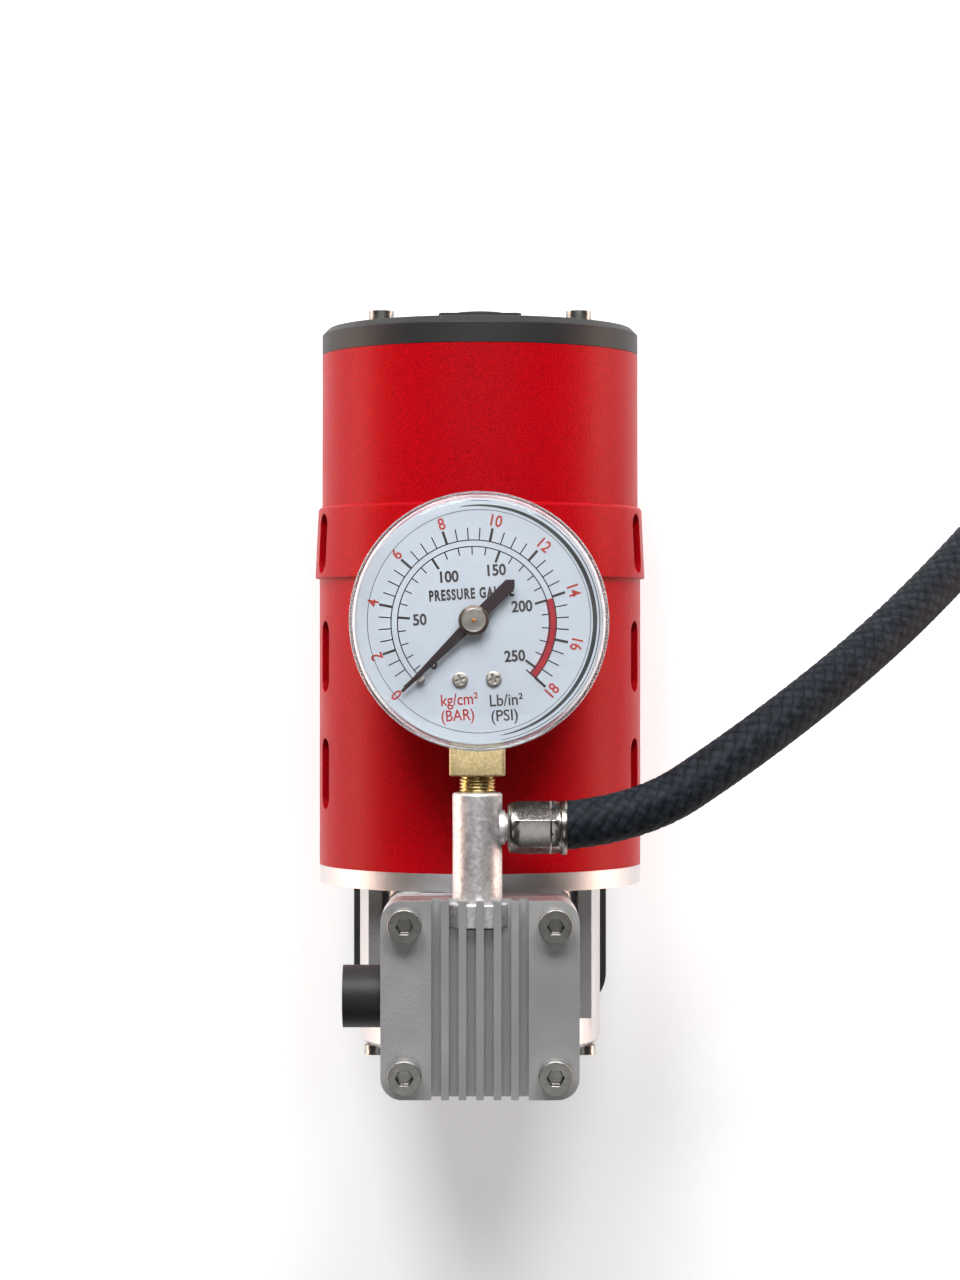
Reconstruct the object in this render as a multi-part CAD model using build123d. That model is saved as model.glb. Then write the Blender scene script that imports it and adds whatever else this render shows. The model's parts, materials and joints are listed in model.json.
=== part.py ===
from build123d import *
import os
from math import cos, pi, radians, sin, tan

# A 12 V tyre compressor that lies on four feet: a motor in a red sleeve, a crankcase and an
# upright finned cylinder at its front, a dial gauge over the sleeve and a short braided hose.
# Millimetres. +Z is up, +Y runs from the cylinder to the motor's tail, and the origin is on
# the ground under the middle of the object.

# ---------------------------------------------------------------- driving dimensions
AXIS_Z = 50.0                     # motor axis over the ground
GAUGE_Y = 13.0                    # centre of the gauge
GAUGE_X = -0.2
CYL_Y = GAUGE_Y - 78.0            # upright axis of the cylinder

# motor sleeve
FRONT_R = 36.1
REAR_R = 35.5
BAND_R_LOW = 37.05                # flared band where the rear cover overlaps the front sleeve
BAND_R_HIGH = 36.35
WALL = 1.8
FLANGE_Y0 = GAUGE_Y - 58.0
FLANGE_Y1 = GAUGE_Y - 54.0
JOINT_Y = GAUGE_Y + 9.9
BAND_Y1 = GAUGE_Y + 25.8
TAIL_Y = GAUGE_Y + 60.0
TAIL_CAP_T = 6.0
SLOT_W = 5.6
SLOT_L = 15.8
SLOT_ANGLE = 18.0                 # of a slot row over or under the motor's mid-plane
SLOT_YS = (GAUGE_Y - 7.5, GAUGE_Y - 33.5)
BAND_SLOT_L = 13.2
BAND_SLOT_Y = GAUGE_Y + 17.6

# motor
CAN_R = 30.0
CAN_WALL = 2.2
CAN_Y1 = GAUGE_Y + 34.0
BELL_T = 4.0
MAGNET_R = (23.4, 27.8)
MAGNET_Y = (GAUGE_Y - 30.0, GAUGE_Y + 18.0)
CORE_R = 22.8
CORE_Y = (GAUGE_Y - 26.0, GAUGE_Y + 14.0)
CORE_SLOTS = 12
SHAFT_R = 4.0
RUN_GAP = 0.05                    # radial clearance of a running fit
COMM_R = 10.0
COMM_Y = (GAUGE_Y + 23.0, GAUGE_Y + 33.0)
BUSH_R = 8.0
BUSH_Y = (GAUGE_Y + 35.0, GAUGE_Y + 43.0)
FAN_Y = (GAUGE_Y + 45.0, GAUGE_Y + 54.0)
FAN_R = 30.0
BLADES = 11
BRUSH_GAP = 0.35

# crank drive: the piston rests at the bottom of its stroke
THROW = 8.0
ROD_LENGTH = 30.0
BEARING_R = 11.0
BEARING_Y = (GAUGE_Y - 61.0, GAUGE_Y - 54.0)
DISC_R = 14.0
DISC_Y = (GAUGE_Y - 73.2, GAUGE_Y - 67.0)
ROD_W = 9.0
PIN_R = 3.5
BIG_BEARING_R = 7.5
BIG_EYE_R = 9.3
SMALL_EYE_R = 5.4
WRIST_R = 3.0
WRIST_Z = AXIS_Z - THROW + ROD_LENGTH
PIN_OPEN_GAP = 0.3                # the linkage is open here: crank pin to crank disc
CHAMBER_R = 21.8
CHAMBER_Y = (GAUGE_Y - 91.0, GAUGE_Y - 61.0)
CASE_R = 27.0
COVER_T = 3.0

# cylinder
BORE_R = 12.5
PISTON_R = 12.1
BARREL_R = 15.5
SPIGOT_R = 14.5
SPIGOT_L = 3.8
DECK_Z = 73.0
BARREL_TOP = 96.0
PLATE_T = 2.0
GASKET_T = 0.6
HEAD_TOP = 112.5
HALF_SQ = 20.0
BOLT_OFF = 15.5
BOLT_R = 2.0
BOLT_GRIP = 5.5                   # of the head bolts in the crankcase deck
BOLT_HEAD_R = 3.5
BOLT_HEAD_H = 4.0

# gauge
GAUGE_Z = (92.0, 118.0)
STEM_Z = 104.0
CASE_OUT_R = 25.6
LENS_R = 26.6
LENS_FLAT_R = 23.0
LENS_T = 1.5
DIAL_R = 24.0
DIAL_Z = 110.6
HUB_X = GAUGE_X - 1.1
HUB_Y = GAUGE_Y + 0.2
POINTER_REST = -133.9             # clockwise from +Y, at zero pressure
POINTER_SWEEP = 264.0
MODULE = 0.3
PINION_TEETH = 10
SECTOR_TEETH = 60
STEM_SQ = 11.6
NECK_R = 3.8

# outlet and hose
POST_R = 5.2
POST_Y1 = GAUGE_Y - 35.5
HOSE_Y = GAUGE_Y - 42.9
HOSE_R = 5.1
FERRULE_R = 5.7
FERRULE_X = (5.7, 18.1)
BARB_R = 3.0
COIL_X = 187.0
COIL_Y = GAUGE_Y + 5.0
TURN_IN_R = 48.0
TURN_OUT_R = 62.0
OUTER_TURN_ARC = 150.0
HOSE_ROUTE = [
    (8.0, HOSE_Y, STEM_Z),
    (30.5, HOSE_Y, STEM_Z),
    (56.0, GAUGE_Y - 26.5, 99.5),
    (84.0, GAUGE_Y - 6.0, 83.0),
    (107.0, GAUGE_Y + 14.0, 60.0),
    (127.0, GAUGE_Y + 34.0, 37.0),
    (148.0, GAUGE_Y + 49.0, 21.0),
    (169.0, GAUGE_Y + 54.0, 13.0),
    (189.0, GAUGE_Y + 53.0, 7.5),
    (206.0, GAUGE_Y + 48.5, HOSE_R),
]

# chuck, beside the coil
CHUCK_X = COIL_X + TURN_OUT_R
CHUCK_Z = 7.5
CHUCK_R = 7.5
CHUCK_Y1 = COIL_Y - 34.0
CHUCK_L = 34.0
CHUCK_FERRULE_L = 14.0
VALVE_R = 4.1
VALVE_DEPTH = 10.0
LEVER_PIN_R = 1.5

# base
PLATE_Z = (8.0, 10.5)
PLATE_X = 30.0
PLATE_Y = (GAUGE_Y - 92.0, GAUGE_Y + 52.0)
FOOT_R = 8.5
FOOT_X = 21.0
FOOT_YS = (PLATE_Y[0] + 9.5, PLATE_Y[1] - 9.5)
SADDLE_Y = (GAUGE_Y + 27.0, GAUGE_Y + 36.0)
CASE_FOOT_YS = (GAUGE_Y - 82.0, GAUGE_Y - 70.0)

# tail switch
SWITCH_Z = 62.0
SWITCH_W = 15.0
SWITCH_H = 21.0
ROCKER_TILT = 8.0
GLAND_Z = 28.0


# ---------------------------------------------------------------- helpers
def along_y(radius, y0, y1, x=0.0, z=AXIS_Z):
    """A cylinder parallel to Y."""
    return Pos(x, (y0 + y1) / 2, z) * Rot(90, 0, 0) * Cylinder(radius, abs(y1 - y0))


def along_x(radius, x0, x1, y, z):
    return Pos((x0 + x1) / 2, y, z) * Rot(0, 90, 0) * Cylinder(radius, abs(x1 - x0))


def upright(radius, z0, z1, x, y):
    return Pos(x, y, (z0 + z1) / 2) * Cylinder(radius, abs(z1 - z0))


def block(x0, x1, y0, y1, z0, z1):
    return Pos((x0 + x1) / 2, (y0 + y1) / 2, (z0 + z1) / 2) * Box(x1 - x0, y1 - y0, z1 - z0)


def ring_y(outer, inner, y0, y1, x=0.0, z=AXIS_Z):
    return along_y(outer, y0, y1, x, z) - along_y(inner, y0 - 1, y1 + 1, x, z)


def turned_y(points, x=0.0, z=AXIS_Z):
    """A solid of revolution about a line parallel to Y, from (radius, y) points."""
    face = make_face(Polyline([(r, y, 0) for r, y in points], close=True))
    return Pos(x, 0, z) * revolve(face, Axis.Y)


def turned_z(points, x, y):
    """A solid of revolution about an upright line, from (radius, z) points."""
    face = make_face(Polyline([(r, 0, z) for r, z in points], close=True))
    return Pos(x, y, 0) * revolve(face, Axis.Z)


def solids_of(shapes):
    """One compound of separate solids."""
    return Compound(children=[s for shape in shapes for s in shape.solids()])


def square_post(half, z0, z1, corner):
    """An upright square bar round the cylinder axis, with rounded corners."""
    profile = RectangleRounded(2 * half, 2 * half, corner)
    return Pos(0, CYL_Y, z0) * extrude(profile, z1 - z0)


def head_bolt_places():
    return [(sx * BOLT_OFF, CYL_Y + sy * BOLT_OFF) for sx in (-1, 1) for sy in (-1, 1)]


def socket_screw_z(x, y, z_top, length, radius, head_r, head_h):
    """A socket-head screw that points down, with its head from z_top upwards."""
    screw = upright(radius, z_top - length, z_top, x, y)
    screw += upright(head_r, z_top, z_top + head_h, x, y)
    socket = Pos(x, y, z_top + 0.4 * head_h) * extrude(RegularPolygon(0.5 * head_r, 6), head_h)
    return screw - socket


def socket_screw_y(x, z, y_face, length, radius, head_r, head_h, way):
    """A socket-head screw along Y; its head stands on y_face towards way (+1 or -1)."""
    screw = along_y(radius, y_face, y_face - way * length, x, z)
    screw += along_y(head_r, y_face, y_face + way * head_h, x, z)
    hexagon = extrude(RegularPolygon(0.5 * head_r, 6), head_h)
    place = Pos(x, y_face + way * 0.4 * head_h, z) * Rot(-90 * way, 0, 0)
    return screw - place * hexagon


# ---------------------------------------------------------------- motor sleeve
def vent_slots(y_middle, length):
    """Cutters for the four slots of one row: two on each flank."""
    cuts = []
    for side in (0, 180):
        for lift in (SLOT_ANGLE, -SLOT_ANGLE):
            angle = radians(side + lift)
            outward = (cos(angle), 0, sin(angle))
            start = Vector(0, y_middle, AXIS_Z) + Vector(*outward) * (FRONT_R - 8)
            plane = Plane(origin=start, x_dir=(0, 1, 0), z_dir=outward)
            cuts.append(extrude(plane * SlotOverall(length, SLOT_W), 16))
    return cuts


def front_housing():
    sleeve = ring_y(FRONT_R, FRONT_R - WALL, FLANGE_Y1, JOINT_Y)
    for y_middle in SLOT_YS:
        for cut in vent_slots(y_middle, SLOT_L):
            sleeve -= cut
    return sleeve


def rear_cover():
    inner = FRONT_R - WALL
    fillet = 0.7
    cover = turned_y([
        (inner, JOINT_Y), (BAND_R_LOW - 0.15, JOINT_Y), (BAND_R_LOW, JOINT_Y + 0.2),
        (BAND_R_HIGH, BAND_Y1 - fillet), (BAND_R_HIGH - 0.25, BAND_Y1 - 0.2),
        (REAR_R, BAND_Y1 + 0.1), (REAR_R, TAIL_Y), (REAR_R - WALL, TAIL_Y),
        (REAR_R - WALL, BAND_Y1), (inner, BAND_Y1 - 1.0),
    ])
    for cut in vent_slots(BAND_SLOT_Y, BAND_SLOT_L):
        cover -= cut
    return cover


def tail_cap():
    rim = 1.5
    cap = turned_y([
        (0, TAIL_Y), (REAR_R, TAIL_Y), (REAR_R, TAIL_Y + TAIL_CAP_T - rim),
        (REAR_R - rim, TAIL_Y + TAIL_CAP_T), (0, TAIL_Y + TAIL_CAP_T),
    ])
    cap -= along_y(REAR_R - 2.5, TAIL_Y - 1, TAIL_Y + TAIL_CAP_T - 2.5)
    for x, z in cap_screw_places():
        cap += along_y(3.4, TAIL_Y, TAIL_Y + TAIL_CAP_T - 2, x, z)
        cap -= along_y(1.5, TAIL_Y - 1, TAIL_Y + TAIL_CAP_T + 1, x, z)
    opening = (SWITCH_W / 2, SWITCH_H / 2)
    cap -= block(-opening[0], opening[0], TAIL_Y, TAIL_Y + 8, SWITCH_Z - opening[1], SWITCH_Z + opening[1])
    cap -= along_y(5, TAIL_Y, TAIL_Y + 8, 0, GLAND_Z)
    for x in (-24, -18, 18, 24):
        half = 13 if abs(x) < 20 else 9
        plane = Plane(origin=(x, TAIL_Y, AXIS_Z), x_dir=(0, 0, 1), z_dir=(0, 1, 0))
        cap -= extrude(plane * SlotOverall(2 * half, 3), 8)
    return cap


def cap_screw_places():
    radius = REAR_R - 5.0
    return [(radius * cos(radians(a)), AXIS_Z + radius * sin(radians(a))) for a in (45, 135, 225, 315)]


def case_screws():
    """The eight identical screws of the tail cap and the crankcase cover."""
    tail_face = TAIL_Y + TAIL_CAP_T
    front_face = CHAMBER_Y[0] - COVER_T
    screws = [socket_screw_y(x, z, tail_face, 9.0, 1.5, 2.8, 2.0, 1) for x, z in cap_screw_places()]
    screws += [socket_screw_y(x, z, front_face, 9.0, 1.5, 2.8, 2.0, -1) for x, z in cover_screw_places()]
    return solids_of(screws)


def switch_bezel():
    y0 = TAIL_Y - 3.0
    y1 = TAIL_Y + TAIL_CAP_T
    half_w, half_h = SWITCH_W / 2, SWITCH_H / 2
    body = block(-half_w, half_w, y0, y1, SWITCH_Z - half_h, SWITCH_Z + half_h)
    plane = Plane(origin=(0, y1, SWITCH_Z), x_dir=(1, 0, 0), z_dir=(0, 1, 0))
    body += extrude(plane * RectangleRounded(SWITCH_W + 3, SWITCH_H + 3, 1.5), 1.5)
    body -= block(-half_w + 1.5, half_w - 1.5, y0 + 2, y1 + 3, SWITCH_Z - half_h + 1.5, SWITCH_Z + half_h - 1.5)
    return body - along_x(1.25, -half_w, half_w, y1 - 1.0, SWITCH_Z)


def switch_rocker():
    """A rocker on a cross pin, at rest with its upper end pressed in."""
    y_pin = TAIL_Y + TAIL_CAP_T - 1.0
    half_w = SWITCH_W / 2 - 1.9
    half_h = SWITCH_H / 2 - 2.4
    crown = [(-3.0, -half_h + 1), (2.8, -half_h), (1.6, 0), (2.8, half_h), (-3.0, half_h - 1)]
    face = make_face(Polyline([(0, y, z) for y, z in crown], close=True))
    rocker = extrude(face, half_w, dir=(1, 0, 0), both=True)
    rocker += along_x(1.2, -half_w - 0.4, half_w + 0.4, 0, 0)
    return Pos(0, y_pin, SWITCH_Z) * Rot(ROCKER_TILT, 0, 0) * rocker


def cord_gland():
    y0 = TAIL_Y + TAIL_CAP_T
    gland = along_y(7.5, y0, y0 + 2.0, 0, GLAND_Z) + along_y(6.2, y0 + 2.0, y0 + 6.0, 0, GLAND_Z)
    gland += along_y(5.0, y0 - 2.5, y0, 0, GLAND_Z)
    return gland - along_y(3.0, y0 - 5, y0 + 8, 0, GLAND_Z)


# ---------------------------------------------------------------- motor
def motor_can():
    can = ring_y(CAN_R, CAN_R - CAN_WALL, FLANGE_Y1, CAN_Y1)
    return can


def field_magnets():
    inner, outer = MAGNET_R
    arcs = ring_y(outer, inner, *MAGNET_Y)
    gap = block(-7, 7, MAGNET_Y[0] - 1, MAGNET_Y[1] + 1, 0, 100)
    return solids_of([arcs - gap])


def end_bell():
    bell = along_y(CAN_R, CAN_Y1, CAN_Y1 + BELL_T)
    bell += along_y(BUSH_R + 3, CAN_Y1 + BELL_T, BUSH_Y[1])
    bell -= along_y(BUSH_R, BUSH_Y[0] - 3, BUSH_Y[1] + 1)
    for side in (-1, 1):
        x0, x1 = sorted((side * 13.0, side * 27.0))
        box = block(x0, x1, CAN_Y1 - 11, CAN_Y1, AXIS_Z - 5, AXIS_Z + 5)
        channel = block(x0 - 1, x1 + 1, CAN_Y1 - 9, CAN_Y1 - 3, AXIS_Z - 3, AXIS_Z + 3)
        bell += box - channel
    for z in (AXIS_Z - 19, AXIS_Z + 19):
        bell -= along_y(4, CAN_Y1 - 1, CAN_Y1 + BELL_T + 1, 0, z)
    return bell


def brushes():
    y_mid = CAN_Y1 - 6
    near = COMM_R + BRUSH_GAP
    return solids_of([
        block(*sorted((side * near, side * 20.0)), y_mid - 3, y_mid + 3, AXIS_Z - 3, AXIS_Z + 3)
        for side in (-1, 1)
    ])


def brush_springs():
    """A compression spring behind each brush."""
    y_mid = CAN_Y1 - 6
    springs = []
    for side in (-1, 1):
        path = Helix(pitch=1.6, height=6.0, radius=2.0)
        wire = sweep(Plane(origin=path @ 0, z_dir=path % 0) * Circle(0.3), path=path)
        springs.append(Pos(side * 20.4 if side > 0 else -26.4, y_mid, AXIS_Z) * Rot(0, 90, 0) * wire)
    return solids_of(springs)


def front_bearing():
    return ring_y(BEARING_R, SHAFT_R + RUN_GAP, *BEARING_Y)


def rear_bush():
    return ring_y(BUSH_R, SHAFT_R + RUN_GAP, *BUSH_Y)


def motor_shaft():
    return along_y(SHAFT_R, DISC_Y[0], FAN_Y[1] + 2)


def slot_cutters(radius_mid, y0, y1, width):
    cuts = []
    for i in range(CORE_SLOTS):
        turn = Pos(0, 0, AXIS_Z) * Rot(0, 360 / CORE_SLOTS * i, 0)
        cuts.append(turn * block(radius_mid - 5, radius_mid + 3.6, y0, y1, -width / 2, width / 2))
    return cuts


def armature_core():
    core = ring_y(CORE_R, SHAFT_R, *CORE_Y)
    for cut in slot_cutters(17.0, CORE_Y[0] - 1, CORE_Y[1] + 1, 4.0):
        core -= cut
    for cut in slot_cutters(20.5, CORE_Y[0] - 1, CORE_Y[1] + 1, 1.6):
        core -= cut
    return core


def windings():
    """Copper in the armature's slots, joined by the wound heads at both ends."""
    front = ring_y(20.5, 9.0, CORE_Y[0] - 7, CORE_Y[0])
    back = ring_y(20.5, 9.0, CORE_Y[1], CORE_Y[1] + 7)
    wound = front + back
    for bar in slot_cutters(17.0, CORE_Y[0] - 1, CORE_Y[1] + 1, 4.0):
        wound += bar
    return wound


def commutator():
    drum = ring_y(COMM_R, SHAFT_R, *COMM_Y)
    for i in range(CORE_SLOTS):
        turn = Pos(0, 0, AXIS_Z) * Rot(0, 360 / CORE_SLOTS * i, 0)
        drum -= turn * block(COMM_R - 1.2, COMM_R + 1, COMM_Y[0] - 1, COMM_Y[1] + 1, -0.3, 0.3)
    return drum


def cooling_fan():
    fan = ring_y(9.0, SHAFT_R, *FAN_Y) + ring_y(FAN_R, SHAFT_R, FAN_Y[0], FAN_Y[0] + 1.6)
    for i in range(BLADES):
        turn = Pos(0, 0, AXIS_Z) * Rot(0, 360 / BLADES * i, 0)
        fan += turn * block(8.0, FAN_R - 1, FAN_Y[0] + 1, FAN_Y[1], -0.8, 0.8)
    return fan


# ---------------------------------------------------------------- crank drive
def crankcase():
    """The cast body: a flange for the motor, the crank chamber, a deck and a foot."""
    body = along_y(CASE_R, CHAMBER_Y[0], FLANGE_Y0)
    body -= block(-CASE_R, CASE_R, CHAMBER_Y[0] - 1, FLANGE_Y0, DECK_Z, AXIS_Z + CASE_R + 1)
    body += along_y(FRONT_R, FLANGE_Y0, FLANGE_Y1)
    body += ring_y(34.2, 31.0, FLANGE_Y1, FLANGE_Y1 + 4)
    body += block(-17, 17, CHAMBER_Y[0], FLANGE_Y0, AXIS_Z, DECK_Z - 6)
    body += square_post(HALF_SQ, DECK_Z - 6, DECK_Z, 4)
    body += block(-16, 16, CHAMBER_Y[0] + 2, FLANGE_Y0 - 2, PLATE_Z[1], AXIS_Z - 22)
    for x in (-23, 23):
        body += block(x - 1.5, x + 1.5, CHAMBER_Y[0] + 4, FLANGE_Y0, AXIS_Z - 18, AXIS_Z + 18)
    body -= along_y(CHAMBER_R, CHAMBER_Y[0] - 1, CHAMBER_Y[1])
    body -= along_y(BEARING_R, BEARING_Y[0] - 1, BEARING_Y[1] + 1)
    body -= upright(SPIGOT_R, AXIS_Z, DECK_Z + 1, 0, CYL_Y)
    for x, y in head_bolt_places():
        body -= upright(BOLT_R, DECK_Z - BOLT_GRIP, DECK_Z + 1, x, y)
    for x, z in cover_screw_places():
        body -= along_y(1.5, CHAMBER_Y[0] - 1, CHAMBER_Y[0] + 8, x, z)
    for y in CASE_FOOT_YS:
        body -= upright(BOLT_R, PLATE_Z[1] - 1, PLATE_Z[1] + 10, 0, y)
    return body


def cover_screw_places():
    radius = (CHAMBER_R + CASE_R) / 2
    return [(radius * cos(radians(a)), AXIS_Z + radius * sin(radians(a))) for a in (20, 160, 225, 315)]


def crankcase_cover():
    y1 = CHAMBER_Y[0]
    cover = turned_y([(0, y1), (CASE_R, y1), (CASE_R, y1 - COVER_T + 1), (CASE_R - 1, y1 - COVER_T), (0, y1 - COVER_T)])
    cover -= ring_y(15.0, 12.0, y1 - COVER_T - 1, y1 - COVER_T + 0.8)
    cover -= block(-CASE_R, CASE_R, y1 - COVER_T - 1, y1 + 1, DECK_Z - 6, AXIS_Z + CASE_R + 1)
    for x, z in cover_screw_places():
        cover -= along_y(1.5, y1 - COVER_T - 1, y1 + 1, x, z)
    return cover


def crank_disc():
    """A disc on the shaft, cut away beside the pin so that its far side is the counterweight."""
    disc = along_y(DISC_R, *DISC_Y) - along_y(SHAFT_R, DISC_Y[0] - 1, DISC_Y[1] + 1)
    for side in (-1, 1):
        x0, x1 = sorted((side * 8.5, side * 20.0))
        disc -= block(x0, x1, DISC_Y[0] - 1, DISC_Y[1] + 1, AXIS_Z - 20, AXIS_Z)
    return disc


def crank_pin():
    pin_z = AXIS_Z - THROW
    return along_y(PIN_R, CYL_Y - ROD_W / 2 - 1, DISC_Y[0] - PIN_OPEN_GAP, 0, pin_z)


def crank_bearing():
    return ring_y(BIG_BEARING_R, PIN_R, CYL_Y - ROD_W / 2, CYL_Y + ROD_W / 2, 0, AXIS_Z - THROW)


def connecting_rod():
    y0, y1 = CYL_Y - ROD_W / 2, CYL_Y + ROD_W / 2
    big_z = AXIS_Z - THROW
    rod = along_y(BIG_EYE_R, y0, y1, 0, big_z) + along_y(SMALL_EYE_R, y0, y1, 0, WRIST_Z)
    rod += block(-3.2, 3.2, y0 + 1.5, y1 - 1.5, big_z, WRIST_Z)
    rod -= along_y(BIG_BEARING_R, y0 - 1, y1 + 1, 0, big_z)
    return rod - along_y(WRIST_R + RUN_GAP, y0 - 1, y1 + 1, 0, WRIST_Z)


def piston():
    crown = WRIST_Z + 7.5
    skirt = WRIST_Z - 6.5
    body = upright(PISTON_R, skirt, crown, 0, CYL_Y)
    body -= block(-7.0, 7.0, CYL_Y - ROD_W / 2 - 0.5, CYL_Y + ROD_W / 2 + 0.5, skirt - 1, crown - 1.5)
    body -= along_y(WRIST_R, CYL_Y - 14, CYL_Y + 14, 0, WRIST_Z)
    groove = upright(PISTON_R + 1, crown - 4.0, crown - 2.0, 0, CYL_Y)
    return body - (groove - upright(PISTON_R - 0.9, crown - 5, crown, 0, CYL_Y))


def piston_ring():
    crown = WRIST_Z + 7.5
    ring = upright(BORE_R - RUN_GAP, crown - 4.0, crown - 2.0, 0, CYL_Y)
    return ring - upright(PISTON_R - 0.9, crown - 5, crown, 0, CYL_Y)


def wrist_pin():
    return along_y(WRIST_R, CYL_Y - 11.0, CYL_Y + 11.0, 0, WRIST_Z)


# ---------------------------------------------------------------- cylinder and head
def bolt_clearance(shape, z0, z1):
    for x, y in head_bolt_places():
        shape -= upright(BOLT_R + 0.2, z0 - 1, z1 + 1, x, y)
    return shape


def cylinder_barrel():
    barrel = upright(BARREL_R, DECK_Z, BARREL_TOP, 0, CYL_Y)
    barrel += upright(SPIGOT_R, DECK_Z - SPIGOT_L, DECK_Z, 0, CYL_Y)
    barrel += square_post(HALF_SQ, DECK_Z, DECK_Z + 2.5, 4)
    barrel += square_post(HALF_SQ, BARREL_TOP - 2.5, BARREL_TOP, 4)
    for i in range(4):
        z0 = DECK_Z + 5.5 + 3.7 * i
        barrel += square_post(HALF_SQ, z0, z0 + 1.5, 4)
    barrel -= upright(BORE_R, DECK_Z - 10, BARREL_TOP + 1, 0, CYL_Y)
    return bolt_clearance(barrel, DECK_Z, BARREL_TOP)


def valve_plate():
    z0, z1 = BARREL_TOP, BARREL_TOP + PLATE_T
    plate = square_post(HALF_SQ, z0, z1, 4)
    for x in (-5, 5):
        plate -= upright(2.0, z0 - 1, z1 + 1, x, CYL_Y)
    return bolt_clearance(plate, z0, z1)


def reed_valves():
    """Two spring-steel flaps: intake under the plate, exhaust on top of it."""
    reeds = []
    for x, z0 in ((-5, BARREL_TOP - 0.25), (5, BARREL_TOP + PLATE_T)):
        flap = Pos(x, CYL_Y, z0) * extrude(SlotOverall(16, 6, rotation=90), 0.25)
        reeds.append(flap)
    return solids_of(reeds)


def head_gasket():
    z0 = BARREL_TOP + PLATE_T
    gasket = square_post(HALF_SQ, z0, z0 + GASKET_T, 4)
    gasket -= square_post(12.0, z0 - 1, z0 + 2, 3)
    return bolt_clearance(gasket, z0, z0 + GASKET_T)


def cylinder_head():
    z0 = BARREL_TOP + PLATE_T + GASKET_T
    head = square_post(HALF_SQ + 0.5, z0, HEAD_TOP, 4.5)
    head -= square_post(12.0, z0 - 1, z0 + 4.5, 3) - block(-1, 1, CYL_Y - 20, CYL_Y + 20, z0 - 2, z0 + 6)
    fin_floor = HEAD_TOP - 5.5
    for x in (-9.0, -5.4, -1.8, 1.8, 5.4, 9.0):
        head -= block(x - 1.0, x + 1.0, CYL_Y - 30, CYL_Y + 30, fin_floor, HEAD_TOP + 1)
    head -= along_y(BARB_R + 1, CYL_Y + 14, CYL_Y + HALF_SQ + 1, 0, STEM_Z)
    head -= along_x(3.0, -HALF_SQ - 1, -13, CYL_Y, STEM_Z)
    return bolt_clearance(head, z0, HEAD_TOP)


def head_screws():
    length = HEAD_TOP - DECK_Z + BOLT_GRIP
    return solids_of([
        socket_screw_z(x, y, HEAD_TOP, length, BOLT_R, BOLT_HEAD_R, BOLT_HEAD_H) for x, y in head_bolt_places()
    ])


def intake_cap():
    """A slotted cup over the intake port on the head's side."""
    x0, x1 = -HALF_SQ - 8.5, -HALF_SQ - 0.5
    cap = along_x(6.5, x0, x1, CYL_Y, STEM_Z) - along_x(5.3, x0 + 1.2, x1 + 1, CYL_Y, STEM_Z)
    for z in (-3, 0, 3):
        cap -= block(x0 - 1, x0 + 2, CYL_Y - 3.5, CYL_Y + 3.5, STEM_Z + z - 0.6, STEM_Z + z + 0.6)
    return cap


def outlet_post():
    """The plated pipe from the head to the gauge, with the hose barb on its side."""
    head_face = CYL_Y + HALF_SQ + 0.5
    post = along_y(POST_R, head_face, POST_Y1, 0, STEM_Z)
    post += along_y(BARB_R + 1, head_face - 6, head_face, 0, STEM_Z)
    hexagon = extrude(RegularPolygon(8.1, 6), 5.0)
    post += Pos(0, head_face, STEM_Z) * Rot(-90, 0, 0) * hexagon
    post += along_x(BARB_R, 0, FERRULE_X[1] - 3, HOSE_Y, STEM_Z)
    post -= along_y(NECK_R, POST_Y1 - 7, POST_Y1 + 1, 0, STEM_Z)
    post -= along_y(2.0, head_face - 7, POST_Y1, 0, STEM_Z)
    return post - along_x(1.5, 0, FERRULE_X[1], HOSE_Y, STEM_Z)


# ---------------------------------------------------------------- gauge
def gauge_stem():
    """The brass socket: a neck that screws into the post, a square, and a block in the case."""
    square_y = (GAUGE_Y - 32.0, GAUGE_Y - 24.0)
    stem = block(-STEM_SQ / 2, STEM_SQ / 2, *square_y, STEM_Z - STEM_SQ / 2, STEM_Z + STEM_SQ / 2)
    stem = chamfer(stem.edges().filter_by(Axis.Y), 0.8)
    stem += along_y(NECK_R, POST_Y1 - 6.5, square_y[0], 0, STEM_Z)
    stem += block(-4.5, 4.5, square_y[1], GAUGE_Y - 15.0, STEM_Z - 5.0, STEM_Z + 4.0)
    return stem - along_y(1.2, POST_Y1 - 8, GAUGE_Y - 17, 0, STEM_Z)


def gauge_case():
    z0, z1 = GAUGE_Z[0], GAUGE_Z[1] - 4.0
    wall = 1.2
    case = turned_z([
        (0, z0), (CASE_OUT_R - 1.5, z0), (CASE_OUT_R, z0 + 1.5), (CASE_OUT_R, z1),
        (CASE_OUT_R - wall, z1), (CASE_OUT_R - wall, z0 + wall), (0, z0 + wall),
    ], GAUGE_X, GAUGE_Y)
    half = STEM_SQ / 2
    return case - block(-half, half, GAUGE_Y - 30, GAUGE_Y - 20, STEM_Z - half, STEM_Z + half)


def gauge_lens():
    """The clear cap: a flat front with a bevelled edge and a skirt over the case."""
    top = GAUGE_Z[1]
    return turned_z([
        (CASE_OUT_R, top - 7.5), (LENS_R, top - 7.5), (LENS_R, top - 2.2),
        (LENS_R - 0.5, top - 1.4), (LENS_FLAT_R, top), (0, top), (0, top - LENS_T),
        (LENS_FLAT_R - 0.5, top - LENS_T), (CASE_OUT_R, top - 3.2),
    ], GAUGE_X, GAUGE_Y)


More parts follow.
